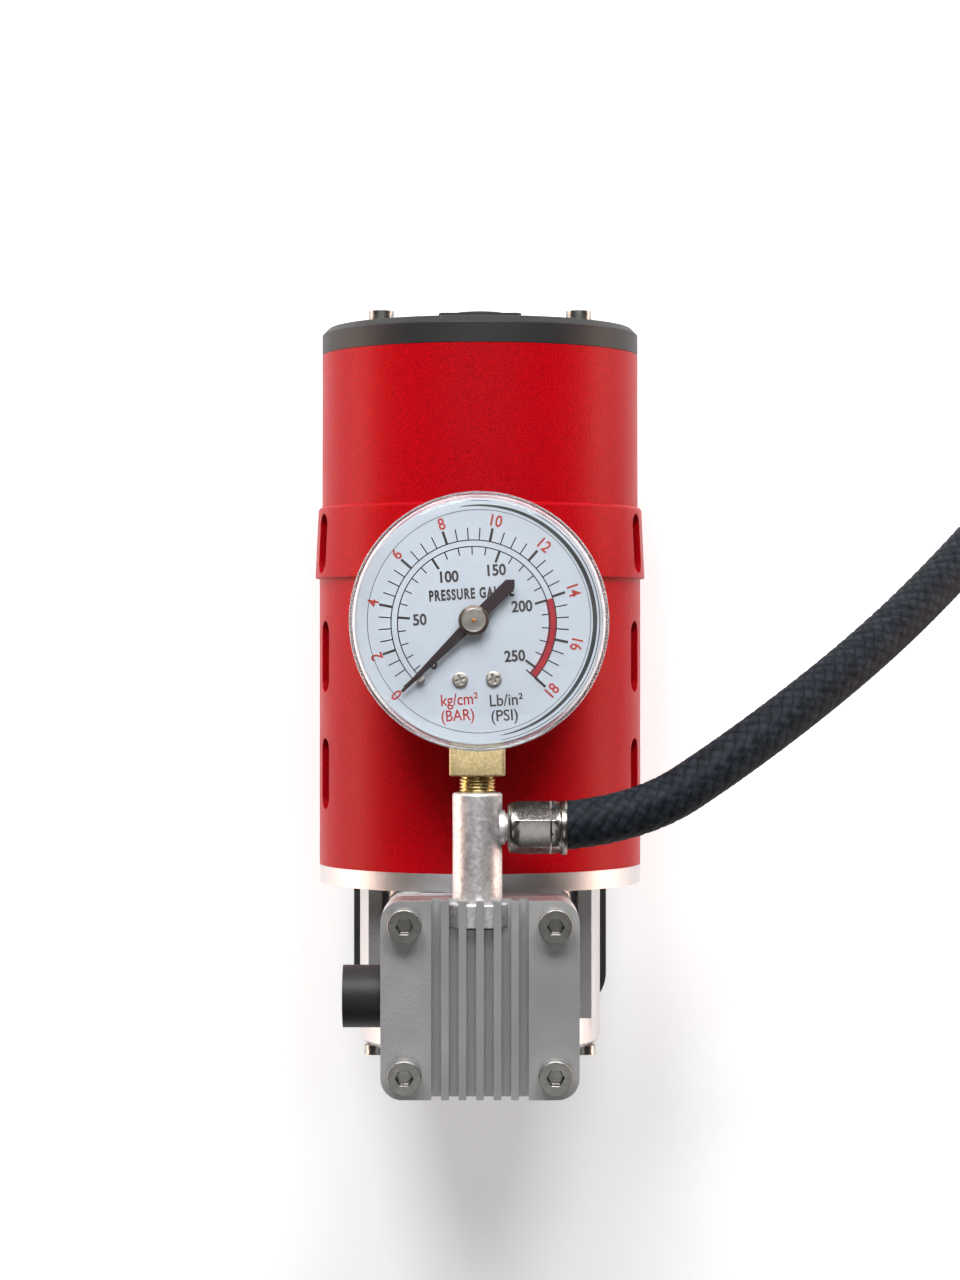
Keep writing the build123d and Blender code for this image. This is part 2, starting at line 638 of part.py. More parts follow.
def gauge_dial():
    dial = upright(DIAL_R, DIAL_Z, DIAL_Z + 0.5, GAUGE_X, GAUGE_Y)
    dial -= upright(1.5, DIAL_Z - 1, DIAL_Z + 2, HUB_X, HUB_Y)
    for x, y in dial_screw_places():
        dial -= upright(0.9, DIAL_Z - 1, DIAL_Z + 2, x, y)
    return dial - upright(0.6, DIAL_Z - 1, DIAL_Z + 2, *stop_pin_place())


def dial_screw_places():
    return [(GAUGE_X - 3.95, GAUGE_Y - 12.1), (GAUGE_X + 3.0, GAUGE_Y - 11.9)]


def stop_pin_place():
    return (GAUGE_X - 12.1, GAUGE_Y - 11.9)


def dial_screws():
    """Two small dome-head screws that fix the dial to the movement frame."""
    screws = []
    top = DIAL_Z + 0.5
    for x, y in dial_screw_places():
        screw = upright(0.9, DIAL_Z - 1.4, top, x, y)
        head = turned_z([(0, top), (1.55, top), (1.45, top + 0.4), (0.9, top + 0.75), (0, top + 0.85)], x, y)
        cross = block(x - 1.0, x + 1.0, y - 0.2, y + 0.2, top + 0.4, top + 2)
        cross += block(x - 0.2, x + 0.2, y - 1.0, y + 1.0, top + 0.4, top + 2)
        screws.append(screw + head - cross)
    return solids_of(screws)


def stop_pin():
    x, y = stop_pin_place()
    return upright(0.6, DIAL_Z - 1, DIAL_Z + 1.2, x, y) + upright(0.9, DIAL_Z + 1.2, DIAL_Z + 1.7, x, y)


def movement_frame():
    """Two brass plates on pillars that carry the pinion and the sector."""
    low, high = 97.0, 107.6
    x0, x1 = HUB_X - 6, HUB_X + 14.5
    plates = block(x0, x1, HUB_Y - 5, HUB_Y + 5, low, low + 1)
    plates += block(x0, x1, HUB_Y - 5, HUB_Y + 5, high, high + 1)
    plates += block(-4.4, 4.4, GAUGE_Y - 15.0, HUB_Y - 4, low, low + 1)
    plates += upright(1.2, low, high, x0 + 1.5, HUB_Y) + upright(1.2, low, high, x1 - 1.3, HUB_Y + 3.6)
    plates -= upright(0.7 + RUN_GAP, low - 1, high + 2, HUB_X, HUB_Y)
    plates -= upright(0.7 + RUN_GAP, low - 1, high + 2, sector_x(), HUB_Y)
    for x, y in dial_screw_places():
        plates += block(x - 1.6, x + 1.6, y - 1.6, HUB_Y - 4, high, high + 1)
        plates += upright(1.6, high + 1, DIAL_Z, x, y)
        plates -= upright(0.9, DIAL_Z - 1.4, DIAL_Z + 1, x, y)
    return plates


def sector_x():
    return HUB_X + MODULE * (PINION_TEETH + SECTOR_TEETH) / 2


def gear_outline(teeth, shown, first_tooth):
    """(angle, radius) corners of straight-flanked teeth; a gap is left for easy running."""
    pitch_r = MODULE * teeth / 2
    root, tip = pitch_r - 0.42, pitch_r + 0.24
    step = 360 / teeth
    corners = []
    for i in range(shown):
        middle = first_tooth + i * step
        corners += [(middle - 0.24 * step, root), (middle - 0.12 * step, tip)]
        corners += [(middle + 0.12 * step, tip), (middle + 0.24 * step, root)]
    return [(r * cos(radians(a)), r * sin(radians(a)), 0) for a, r in corners]


def pinion_arbor():
    """The spindle that carries the pointer, with the pinion on it."""
    z0 = 101.0
    arbor = upright(0.7, 96.5, DIAL_Z + 3.9, HUB_X, HUB_Y)
    outline = gear_outline(PINION_TEETH, PINION_TEETH, 180 / PINION_TEETH)
    pinion = Pos(HUB_X, HUB_Y, z0) * extrude(make_face(Polyline(outline, close=True)), 3.0)
    return arbor + pinion


def sector_gear():
    """The toothed sector; its rim starts at the pinion and runs round with the sweep."""
    z0 = 102.0
    step = 360 / SECTOR_TEETH
    shown = 10
    outline = gear_outline(SECTOR_TEETH, shown, 180 - (shown - 2) * step)
    fan = make_face(Polyline([(0, 0, 0)] + outline, close=True))
    sector = extrude(fan, 1.2) + Pos(0, 0, 0.6) * Cylinder(1.8, 1.2)
    sector += Rot(0, 0, 180 - (shown / 2 - 1.5) * step + 180) * block(0, 4.5, -1.0, 1.0, 0, 1.2)
    placed = Pos(sector_x(), HUB_Y, z0) * sector
    return placed + upright(0.7, 96.5, 108.4, sector_x(), HUB_Y)


def bourdon_tube():
    """A flattened C-shaped tube from the socket block round to its closed tip."""
    middle_r, thick, height = 19.0, 1.8, 7.0
    z0 = STEM_Z - 4.5
    half = thick / 2
    corners = [(middle_r - half, z0), (middle_r + half, z0), (middle_r + half, z0 + height), (middle_r - half, z0 + height)]
    face = make_face(Polyline([(r, 0, z) for r, z in corners], close=True))
    tube = Rot(0, 0, -75) * revolve(face, Axis.Z, revolution_arc=245)
    return Pos(GAUGE_X, GAUGE_Y, 0) * tube


def pointer():
    """The hand at zero: a long tapered front, a broad tail with a pointed end."""
    outline = [(-1.1, 0), (-1.0, 5), (-0.3, 20.2), (0.3, 20.2), (1.0, 5), (1.1, 0), (1.35, -10.0), (0, -11.4), (-1.35, -10.0)]
    hand = extrude(make_face(Polyline([(x, y, 0) for x, y in outline], close=True)), 0.4)
    hand += Pos(0, 0, 0.2) * Cylinder(3.05, 0.4)
    hand -= Cylinder(0.7, 2)
    return Pos(HUB_X, HUB_Y, DIAL_Z + 2.2) * Rot(0, 0, -POINTER_REST) * hand


def pointer_hub():
    z0 = DIAL_Z + 2.6
    hub = turned_z([(0.7, z0), (2.5, z0), (2.5, z0 + 0.5), (2.2, z0 + 0.8), (1.2, z0 + 1.0), (0.7, z0 + 1.05)], HUB_X, HUB_Y)
    return hub


# ---------------------------------------------------------------- hose and chuck
def hose_ferrule():
    x0, x1 = FERRULE_X
    shell = along_x(FERRULE_R, x0, x1, HOSE_Y, STEM_Z)
    shell -= along_x(HOSE_R, x0 + 1.0, x1 + 1, HOSE_Y, STEM_Z)
    return shell - along_x(BARB_R, x0 - 1, x1, HOSE_Y, STEM_Z)


def route_radii(route):
    """For each inner corner: 0.45 of the shorter run over the tangent of half the turn."""
    radii = []
    points = [Vector(*p) for p in route]
    for before, here, after in zip(points, points[1:], points[2:]):
        half_turn = radians((here - before).get_angle(after - here)) / 2
        shorter = min((here - before).length, (after - here).length)
        radii.append(0.45 * shorter / tan(half_turn))
    return radii


def air_hose():
    radii = route_radii(HOSE_ROUTE)
    path = FilletPolyline(*HOSE_ROUTE, radius=radii)
    section = Plane(origin=path @ 0, z_dir=path % 0) * Circle(HOSE_R)
    hose = sweep(section, path=path)
    print("hose arc radii", [round(r, 1) for r in radii])
    print("hose length", round(path.length, 1), "volume ratio", round(hose.volume / (pi * HOSE_R ** 2 * path.length), 4))
    return hose


def air_hose_coil():
    """The outer shape of the coiled rest: the inner turn, half an outer turn, and a straight tail."""
    coil = flat_turn(TURN_IN_R - HOSE_R, TURN_IN_R + HOSE_R, 360)
    coil += flat_turn(TURN_IN_R, TURN_OUT_R + HOSE_R, OUTER_TURN_ARC)
    return coil + along_y(HOSE_R, COIL_Y, CHUCK_Y1 + CHUCK_FERRULE_L, CHUCK_X, HOSE_R)


def flat_turn(inner, outer, arc):
    """Turns that lie side by side on the ground, with their rounded outside."""
    lift = 0.3 * HOSE_R
    high = 2 * HOSE_R
    outline = [
        (inner, HOSE_R), (inner + lift, lift), (inner + HOSE_R, 0), (outer - HOSE_R, 0), (outer - lift, lift),
        (outer, HOSE_R), (outer - lift, high - lift), (outer - HOSE_R, high), (inner + HOSE_R, high),
        (inner + lift, high - lift),
    ]
    face = make_face(Polyline([(r, 0, z) for r, z in dict.fromkeys(outline)], close=True))
    return Pos(COIL_X, COIL_Y, 0) * revolve(face, Axis.Z, revolution_arc=arc)


def chuck_ferrule():
    ferrule = along_y(6.2, CHUCK_Y1, CHUCK_Y1 + CHUCK_FERRULE_L, CHUCK_X, CHUCK_Z)
    return ferrule - along_y(4.0, CHUCK_Y1 - 1, CHUCK_Y1 + 4, CHUCK_X, CHUCK_Z)


def chuck_body():
    """The cast body with the valve bore in its nose and two ears for the lever."""
    y0 = CHUCK_Y1 - CHUCK_L
    body = along_y(CHUCK_R, y0 + 2, CHUCK_Y1, CHUCK_X, CHUCK_Z)
    body += along_y(CHUCK_R - 1.2, y0, y0 + 2, CHUCK_X, CHUCK_Z)
    body += along_y(4.0, CHUCK_Y1, CHUCK_Y1 + 4, CHUCK_X, CHUCK_Z)
    pin_y, pin_z = lever_pin_place()
    for side in (-1, 1):
        x0, x1 = sorted((CHUCK_X + side * 3.6, CHUCK_X + side * 6.0))
        ear = block(x0, x1, pin_y - 3.2, pin_y + 3.2, CHUCK_Z, pin_z)
        ear += along_x(3.2, x0, x1, pin_y, pin_z)
        body += ear - along_x(LEVER_PIN_R, x0 - 1, x1 + 1, pin_y, pin_z)
    body -= along_y(5.0, y0 - 1, y0 + VALVE_DEPTH, CHUCK_X, CHUCK_Z)
    return body - along_y(1.5, y0, CHUCK_Y1 + 6, CHUCK_X, CHUCK_Z)


def lever_pin_place():
    return (CHUCK_Y1 - CHUCK_L + 9.0, CHUCK_Z + CHUCK_R + 3.2)


def chuck_seal():
    """A rubber sleeve in the nose that grips the tyre valve."""
    y0 = CHUCK_Y1 - CHUCK_L
    return ring_y(5.0, VALVE_R, y0, y0 + VALVE_DEPTH, CHUCK_X, CHUCK_Z)


def chuck_pin():
    pin_y, pin_z = lever_pin_place()
    return along_x(LEVER_PIN_R, CHUCK_X - 6.4, CHUCK_X + 6.4, pin_y, pin_z)


def chuck_lever():
    """The thumb lever, locked flat along the body."""
    pin_y, pin_z = lever_pin_place()
    half = 3.2
    lever = along_x(2.6, CHUCK_X - half, CHUCK_X + half, pin_y, pin_z)
    lever += block(CHUCK_X - half, CHUCK_X + half, pin_y, pin_y + 26, pin_z - 0.6, pin_z + 2.4)
    tip = Pos(CHUCK_X, pin_y + 25, pin_z + 0.9) * Rot(28, 0, 0) * block(-5.5, 5.5, -2, 9, -1.5, 1.5)
    lever += tip
    return lever - along_x(LEVER_PIN_R + RUN_GAP, CHUCK_X - 8, CHUCK_X + 8, pin_y, pin_z)


# ---------------------------------------------------------------- base
def foot_places():
    return [(sx * FOOT_X, y) for sx in (-1, 1) for y in FOOT_YS]


def base_screw_places():
    return [(0, y) for y in CASE_FOOT_YS] + [(sx * 14, sum(SADDLE_Y) / 2) for sx in (-1, 1)]


def base_plate():
    """A pressed steel plate with turned-down side edges."""
    length = PLATE_Y[1] - PLATE_Y[0]
    middle = sum(PLATE_Y) / 2
    thick = PLATE_Z[1] - PLATE_Z[0]
    plate = Pos(0, middle, PLATE_Z[0]) * extrude(RectangleRounded(2 * PLATE_X, length, 9), thick)
    for side in (-1, 1):
        x0, x1 = sorted((side * (PLATE_X - 1.6), side * PLATE_X))
        plate += block(x0, x1, PLATE_Y[0] + 12, PLATE_Y[1] - 12, PLATE_Z[0] - 3.5, PLATE_Z[0] + 1)
    for x, y in foot_places() + base_screw_places():
        plate -= upright(BOLT_R, PLATE_Z[0] - 1, PLATE_Z[1] + 1, x, y)
    return plate


def rear_saddle():
    """A cradle that holds the tail end of the motor sleeve."""
    saddle = block(-22, 22, *SADDLE_Y, PLATE_Z[1], AXIS_Z - 27)
    saddle -= along_y(REAR_R, SADDLE_Y[0] - 1, SADDLE_Y[1] + 1)
    for x, y in base_screw_places()[2:]:
        saddle -= upright(BOLT_R, PLATE_Z[1] - 1, PLATE_Z[1] + 3.0, x, y)
    return saddle


def rubber_feet():
    feet = []
    for x, y in foot_places():
        foot = turned_z([(0, 0), (FOOT_R - 1.2, 0), (FOOT_R, 1.0), (FOOT_R - 1.0, 8.0), (0, 8.0)], x, y)
        feet.append(foot - upright(4.0, -1, 3.5, x, y) - upright(BOLT_R, 0, 9, x, y))
    return solids_of(feet)


def base_screws():
    screws = []
    for x, y in foot_places():
        screws.append(upright(BOLT_R, 3.5, PLATE_Z[1] + 2, x, y) + upright(3.6, 1.5, 3.5, x, y))
    for x, y in base_screw_places():
        screws.append(upright(BOLT_R, PLATE_Z[0], PLATE_Z[1] + 3.0, x, y) + upright(3.6, 5.6, PLATE_Z[0], x, y))
    return solids_of(screws)


# ---------------------------------------------------------------- write the parts
NODES = [
    front_housing, rear_cover, tail_cap, case_screws, switch_bezel, switch_rocker, cord_gland,
    motor_can, field_magnets, end_bell, brushes, brush_springs, front_bearing, rear_bush,
    motor_shaft, armature_core, windings, commutator, cooling_fan, crankcase, crankcase_cover,
    crank_disc, crank_pin, crank_bearing, connecting_rod, piston, piston_ring, wrist_pin,
    cylinder_barrel, valve_plate, reed_valves, head_gasket, cylinder_head, head_screws, intake_cap,
    outlet_post, gauge_stem, gauge_case, gauge_lens, gauge_dial, dial_screws, stop_pin, movement_frame,
    pinion_arbor, sector_gear, bourdon_tube, pointer, pointer_hub, hose_ferrule, air_hose, air_hose_coil,
    chuck_ferrule, chuck_body, chuck_seal, chuck_pin, chuck_lever,
    base_plate, rear_saddle, rubber_feet, base_screws,
]

os.makedirs("parts", exist_ok=True)
for make in NODES:
    export_step(make(), f"parts/{make.__name__}.step")
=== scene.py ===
import bpy
import bmesh
import json
from math import ceil, cos, hypot, pi, radians, sin
from mathutils import Matrix, Vector


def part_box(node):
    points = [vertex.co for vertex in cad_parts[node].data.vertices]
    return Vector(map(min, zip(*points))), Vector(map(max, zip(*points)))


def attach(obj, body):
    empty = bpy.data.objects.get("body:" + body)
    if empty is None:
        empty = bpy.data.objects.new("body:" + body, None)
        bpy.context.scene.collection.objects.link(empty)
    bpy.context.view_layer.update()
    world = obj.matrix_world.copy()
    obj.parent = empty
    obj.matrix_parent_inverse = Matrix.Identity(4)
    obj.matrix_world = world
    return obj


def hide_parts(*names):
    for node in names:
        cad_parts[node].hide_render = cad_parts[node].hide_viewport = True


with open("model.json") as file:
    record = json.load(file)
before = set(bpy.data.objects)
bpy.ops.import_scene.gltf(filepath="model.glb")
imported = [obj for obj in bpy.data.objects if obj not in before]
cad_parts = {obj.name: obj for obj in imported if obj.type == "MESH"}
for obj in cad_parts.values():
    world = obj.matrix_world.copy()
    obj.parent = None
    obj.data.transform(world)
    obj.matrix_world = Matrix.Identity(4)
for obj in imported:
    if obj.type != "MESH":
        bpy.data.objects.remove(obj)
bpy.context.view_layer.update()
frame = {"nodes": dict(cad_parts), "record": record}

# ---------------------------------------------------------------- places, in metres
MM = 0.001
GAUGE_X = -0.2 * MM
GAUGE_Y = 13 * MM
GAUGE_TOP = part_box("gauge_lens")[1].z
STEM_X = GAUGE_X - 0.35 * MM
STEM_Z = 104 * MM
HOSE_Y = GAUGE_Y - 42.9 * MM
HOSE_R = 5.1 * MM
UP = Vector((0, 0, 1))


# ---------------------------------------------------------------- node helpers
NOISE_ROUGHNESS = 0.55


class Nodes:
    """The node tree of a material or world, with short ways to add to it."""

    def __init__(self, owner):
        owner.use_nodes = True
        self.nodes = owner.node_tree.nodes
        self.links = owner.node_tree.links

    def node(self, kind, **settings):
        made = self.nodes.new("ShaderNode" + kind)
        for key, value in settings.items():
            setattr(made, key, value)
        return made

    def link(self, source, target):
        self.links.new(source, target)

    def feed(self, value, socket):
        """Links an output to a socket, or sets a number or colour on it."""
        if isinstance(value, bpy.types.NodeSocket):
            self.link(value, socket)
        else:
            socket.default_value = (*value, 1) if hasattr(value, "__len__") else value

    def math(self, operation, *values):
        node = self.node("Math", operation=operation)
        for value, socket in zip(values, node.inputs):
            self.feed(value, socket)
        return node.outputs[0]

    def spread(self, source, before, after, **settings):
        """Maps the range of values before to the range after."""
        node = self.node("MapRange", **settings)
        names = ("From Min", "From Max", "To Min", "To Max")
        for name, value in zip(names, (*before, *after)):
            node.inputs[name].default_value = value
        self.link(source, node.inputs["Value"])
        return node.outputs["Result"]


class Surface(Nodes):
    """A Principled material with short ways to add colour, roughness and bump patterns."""

    def __init__(self, name, color, roughness, metallic=0.0, **sockets):
        self.material = bpy.data.materials.new(name)
        super().__init__(self.material)
        self.shader = self.nodes["Principled BSDF"]
        self.shader.inputs["Base Color"].default_value = (*color, 1)
        self.shader.inputs["Roughness"].default_value = roughness
        self.shader.inputs["Metallic"].default_value = metallic
        for socket, value in sockets.items():
            self.shader.inputs[socket.replace("_", " ")].default_value = value
        self.coordinates = self.node("TexCoord").outputs["Object"]
        self.last_normal = None

    def stretched(self, scale):
        """Coordinates for a pattern that is drawn out along the axes with a small scale."""
        mapping = self.node("Mapping")
        mapping.inputs["Scale"].default_value = scale
        self.link(self.coordinates, mapping.inputs["Vector"])
        return mapping.outputs["Vector"]

    def noise(self, scale, detail, vector=None):
        texture = self.node("TexNoise")
        texture.inputs["Scale"].default_value = scale
        texture.inputs["Detail"].default_value = detail
        texture.inputs["Roughness"].default_value = NOISE_ROUGHNESS
        self.link(vector or self.coordinates, texture.inputs["Vector"])
        return texture.outputs["Fac"]

    def steps(self, value, low, high):
        """0 where the value is under low, 1 where it is over high."""
        ramp = self.node("ValToRGB")
        for element, place, grey in zip(ramp.color_ramp.elements, (low, high), (0, 1)):
            element.position = place
            element.color = (grey, grey, grey, 1)
        self.link(value, ramp.inputs["Fac"])
        return ramp.outputs["Color"]

    def mix(self, share, low, high):
        mix = self.node("Mix", data_type="RGBA")
        for value, socket in ((share, mix.inputs[0]), (low, mix.inputs[6]), (high, mix.inputs[7])):
            self.feed(value, socket)
        return mix.outputs[2]

    def color(self, source):
        self.link(source, self.shader.inputs["Base Color"])

    def roughness(self, source, low, high):
        self.link(self.spread(source, (0, 1), (low, high)), self.shader.inputs["Roughness"])

    def bump(self, height, distance, strength):
        bump = self.node("Bump")
        bump.inputs["Strength"].default_value = strength
        bump.inputs["Distance"].default_value = distance
        self.link(height, bump.inputs["Height"])
        if self.last_normal:
            self.link(self.last_normal, bump.inputs["Normal"])
        self.last_normal = bump.outputs["Normal"]
        self.link(self.last_normal, self.shader.inputs["Normal"])


# ---------------------------------------------------------------- materials
# Each plain material has two tones, low and high, spread by the noise "tones", a range of roughness spread by the
# noise "patches", and mostly a fine bump. A noise is (scale, detail), and a bump (scale, detail, distance, strength).
# "steps" sharpens the spread of the tones, and "stretch" draws the bump out into brush marks.
PLAIN_LOOKS = {
    "black_mould": dict(
        color=(0.012, 0.012, 0.013), roughness=0.5, low=(0.012, 0.012, 0.013), high=(0.0204, 0.0204, 0.0221),
        tones=(60, 4), rough=(0.42, 0.6), patches=(150, 4), bump=(2400, 2, 0.00005, 0.5), Specular_IOR_Level=0.35),
    "case_mould": dict(
        color=(0.014, 0.010, 0.012), roughness=0.35, low=(0.014, 0.010, 0.012), high=(0.0238, 0.017, 0.0204),
        tones=(60, 4), rough=(0.27, 0.45), patches=(150, 4), bump=(2400, 2, 0.00005, 0.5), Specular_IOR_Level=0.35),
    "rocker_red": dict(
        color=(0.40, 0.004, 0.006), roughness=0.24, low=(0.36, 0.003, 0.005), high=(0.43, 0.005, 0.008),
        tones=(70, 3), rough=(0.18, 0.34), patches=(300, 4), bump=(900, 2, 0.00002, 0.3)),
    "rubber": dict(
        color=(0.018, 0.018, 0.018), roughness=0.8, low=(0.016, 0.016, 0.016), high=(0.045, 0.043, 0.04),
        tones=(45, 6), steps=(0.45, 0.7), rough=(0.7, 0.9), patches=(200, 3), bump=(900, 3, 0.0001, 0.3)),
    "cast_aluminium": dict(
        color=(0.62, 0.62, 0.63), roughness=0.42, metallic=1.0, low=(0.50, 0.50, 0.51), high=(0.68, 0.68, 0.69),
        tones=(55, 5), rough=(0.34, 0.55), patches=(55, 5), bump=(1500, 3, 0.00012, 0.5)),
    "satin_zinc": dict(
        color=(0.66, 0.63, 0.62), roughness=0.34, metallic=0.85, low=(0.56, 0.535, 0.535), high=(0.80, 0.775, 0.77),
        tones=(1100, 4), steps=(0.36, 0.64), rough=(0.38, 0.56), patches=(600, 4), bump=(900, 4, 0.00014, 0.6)),
    "polished_nickel": dict(
        color=(0.48, 0.45, 0.42), roughness=0.16, metallic=1.0, low=(0.27, 0.25, 0.235), high=(0.42, 0.395, 0.37),
        tones=(160, 5), rough=(0.2, 0.34), patches=(500, 5), bump=(420, 3, 0.00006, 0.35)),
    "zinc_screw": dict(
        color=(0.4, 0.39, 0.36), roughness=0.36, metallic=1.0, low=(0.30, 0.29, 0.27), high=(0.46, 0.45, 0.42),
        tones=(300, 4), rough=(0.2, 0.42), patches=(700, 3), bump=(1200, 2, 0.00004, 0.4)),
    "dial_screw_zinc": dict(
        color=(0.4, 0.37, 0.33), roughness=0.46, metallic=0.9, low=(0.16, 0.14, 0.12), high=(0.62, 0.58, 0.53),
        tones=(1600, 4), rough=(0.38, 0.56), patches=(900, 3), bump=(2600, 2, 0.00003, 0.4)),
    "plain_steel": dict(
        color=(0.42, 0.42, 0.43), roughness=0.4, metallic=1.0, low=(0.30, 0.30, 0.31), high=(0.46, 0.46, 0.47),
        tones=(80, 5), rough=(0.3, 0.55), patches=(300, 4), bump=(1500, 2, 0.00005, 0.5), stretch=(1, 0.05, 1)),
    "bright_steel": dict(
        color=(0.72, 0.71, 0.69), roughness=0.18, metallic=1.0, low=(0.60, 0.59, 0.57), high=(0.76, 0.75, 0.73),
        tones=(200, 4), rough=(0.12, 0.28), patches=(500, 4), bump=(1800, 2, 0.00003, 0.3)),
    "thread_brass": dict(
        color=(0.66, 0.49, 0.2), roughness=0.22, metallic=1.0, low=(0.58, 0.42, 0.15), high=(0.76, 0.6, 0.3),
        tones=(900, 3), rough=(0.16, 0.34), patches=(900, 3), bump=(1600, 2, 0.00003, 0.3)),
    "tarnished_brass": dict(
        color=(0.42, 0.20, 0.05), roughness=0.4, metallic=0.4, low=(0.24, 0.09, 0.02), high=(0.42, 0.2, 0.05),
        tones=(2500, 3), rough=(0.3, 0.5), patches=(1500, 3)),
    "copper": dict(
        color=(0.75, 0.32, 0.15), roughness=0.3, metallic=1.0, low=(0.62, 0.24, 0.1), high=(0.80, 0.38, 0.2),
        tones=(120, 4), rough=(0.22, 0.4), patches=(400, 3), bump=(1600, 2, 0.0001, 0.6), stretch=(1, 0.08, 1)),
    "ferrite": dict(
        color=(0.05, 0.05, 0.055), roughness=0.7, low=(0.035, 0.035, 0.04), high=(0.08, 0.08, 0.085),
        tones=(300, 4), rough=(0.6, 0.8), patches=(300, 4), bump=(2000, 3, 0.00008, 0.5)),
    "fibre": dict(
        color=(0.10, 0.095, 0.09), roughness=0.8, low=(0.07, 0.066, 0.062), high=(0.16, 0.15, 0.14),
        tones=(700, 4), rough=(0.7, 0.9), patches=(500, 3), bump=(2500, 3, 0.00006, 0.5)),
    "powder_coat": dict(
        color=(0.03, 0.03, 0.033), roughness=0.45, low=(0.024, 0.024, 0.027), high=(0.045, 0.045, 0.048),
        tones=(90, 4), rough=(0.4, 0.55), patches=(250, 3), bump=(1300, 2, 0.00012, 0.5)),
    "dial_enamel": dict(
        color=(0.225, 0.25, 0.275), roughness=0.5, low=(0.295, 0.323, 0.352), high=(0.315, 0.345, 0.376),
        tones=(60, 4), rough=(0.42, 0.55), patches=(300, 3), bump=(1400, 2, 0.00002, 0.4)),
    "pointer_paint": dict(
        color=(0.02, 0.01, 0.011), roughness=0.42, low=(0.011, 0.005, 0.006), high=(0.018, 0.009, 0.010),
        tones=(500, 4), rough=(0.34, 0.5), patches=(600, 3), bump=(1500, 2, 0.00002, 0.3)),
    "hub_dark": dict(
        color=(0.09, 0.065, 0.05), roughness=0.28, metallic=0.6, low=(0.07, 0.05, 0.04), high=(0.13, 0.10, 0.08),
        tones=(400, 3), rough=(0.2, 0.4), patches=(700, 3)),
    "hub_silver": dict(
        color=(0.40, 0.37, 0.33), roughness=0.35, metallic=1.0, low=(0.32, 0.30, 0.27), high=(0.66, 0.62, 0.56),
        tones=(900, 4), rough=(0.24, 0.45), patches=(700, 4), bump=(2200, 3, 0.00003, 0.5)),
}


def plain(name, color, roughness, low, high, tones, rough, patches, metallic=0.0, steps=(), bump=(), stretch=(),
          **sockets):
    """A material of the table above."""
    s = Surface(name, color, roughness, metallic, **sockets)
    share = s.noise(*tones)
    if steps:
        share = s.steps(share, *steps)
    s.color(s.mix(share, low, high))
    s.roughness(s.noise(*patches), *rough)
    if bump:
        scale, detail, distance, strength = bump
        s.bump(s.noise(scale, detail, s.stretched(stretch) if stretch else None), distance, strength)
    return s.material


def ink(name, color):
    """Print of one colour on the dial."""
    lighter = tuple(min(1, c * 1.25 + 0.01) for c in color)
    return plain(name, color, 0.45, color, lighter, tones=(1800, 3), rough=(0.38, 0.55), patches=(900, 2))


def red_shell():
    """Moulded shell: fine spark-eroded grain with painted shade in its low places, slightly uneven colour and sheen."""
    s = Surface("red_shell", (0.47, 0.001, 0.006), 0.4, Specular_IOR_Level=0.1)
    grain = s.noise(2300, 2)
    base = s.mix(s.noise(35, 4), (0.43, 0.0008, 0.003), (0.49, 0.001, 0.005))
    # Painted shade: the low places of the grain, where the bump sinks, are darkened in colour.
    painted_pit_shade = s.mix(0.5, base, (0.16, 0.0, 0.006))
    s.color(s.mix(s.steps(grain, 0.36, 0.60), painted_pit_shade, base))
    s.roughness(s.noise(90, 5), 0.35, 0.46)
    s.bump(grain, 0.00005, 1.0)
    s.bump(s.noise(220, 2), 0.00005, 0.2)
    return s.material


def brass():
    """Sawn and tumbled bar brass: pale, speckled and slightly dull."""
    s = Surface("brass", (0.75, 0.6, 0.33), 0.36, 0.55)
    speck = s.noise(2300, 3)
    streak = s.noise(900, 3, s.stretched((1, 0.25, 1)))
    base = s.mix(streak, (0.46, 0.345, 0.16), (0.66, 0.52, 0.28))
    s.color(s.mix(s.steps(speck, 0.42, 0.62), s.mix(0.4, base, (0.18, 0.12, 0.05)), base))
    s.roughness(speck, 0.28, 0.5)
    s.bump(speck, 0.00005, 0.6)
    return s.material


def hose_braid():
    """Textile braid: black yarn with a blue-grey sheen; the gaps that the hose's "strand" layer marks are painted
    nearly black as painted shade.
    """
    s = Surface("hose_braid", (0.02, 0.022, 0.026), 0.66, Specular_IOR_Level=0.12)
    strand = s.node("SeparateColor")
    s.link(s.node("VertexColor", layer_name="strand").outputs["Color"], strand.inputs["Color"])
    fibres = s.noise(1400, 3)
    dusty = s.math("MULTIPLY", s.steps(s.noise(420, 4), 0.4, 0.66), 0.6)
    yarn = s.mix(fibres, (0.004, 0.0055, 0.008), (0.018, 0.024, 0.033))
    yarn = s.mix(dusty, yarn, (0.034, 0.044, 0.058))
    # Painted shade: where the strand height is low, in the gaps between strands, the colour is nearly black.
    s.color(s.mix(strand.outputs[0], (0.001, 0.001, 0.0015), yarn))
    s.roughness(fibres, 0.5, 0.75)
    s.bump(s.noise(2600, 3), 0.00003, 0.8)
    return s.material


def floor_paper():
    """Pale paper that glows more the farther it is from the machine, so that it stays white to the horizon."""
    s = Surface("floor_paper", (0.9, 0.9, 0.9), 0.7, Emission_Color=(1, 1, 1, 1))
    reach = s.node("VectorMath", operation="LENGTH")
    s.link(s.coordinates, reach.inputs[0])
    glow = s.spread(reach.outputs["Value"], FLOOR_REACH, FLOOR_GLOW)
    s.link(glow, s.shader.inputs["Emission Strength"])
    s.color(s.mix(s.noise(3, 3), (0.89, 0.89, 0.89), (0.91, 0.91, 0.91)))
    s.roughness(s.noise(20, 3), 0.65, 0.75)
    s.bump(s.noise(400, 2), 0.0001, 0.1)
    return s.material


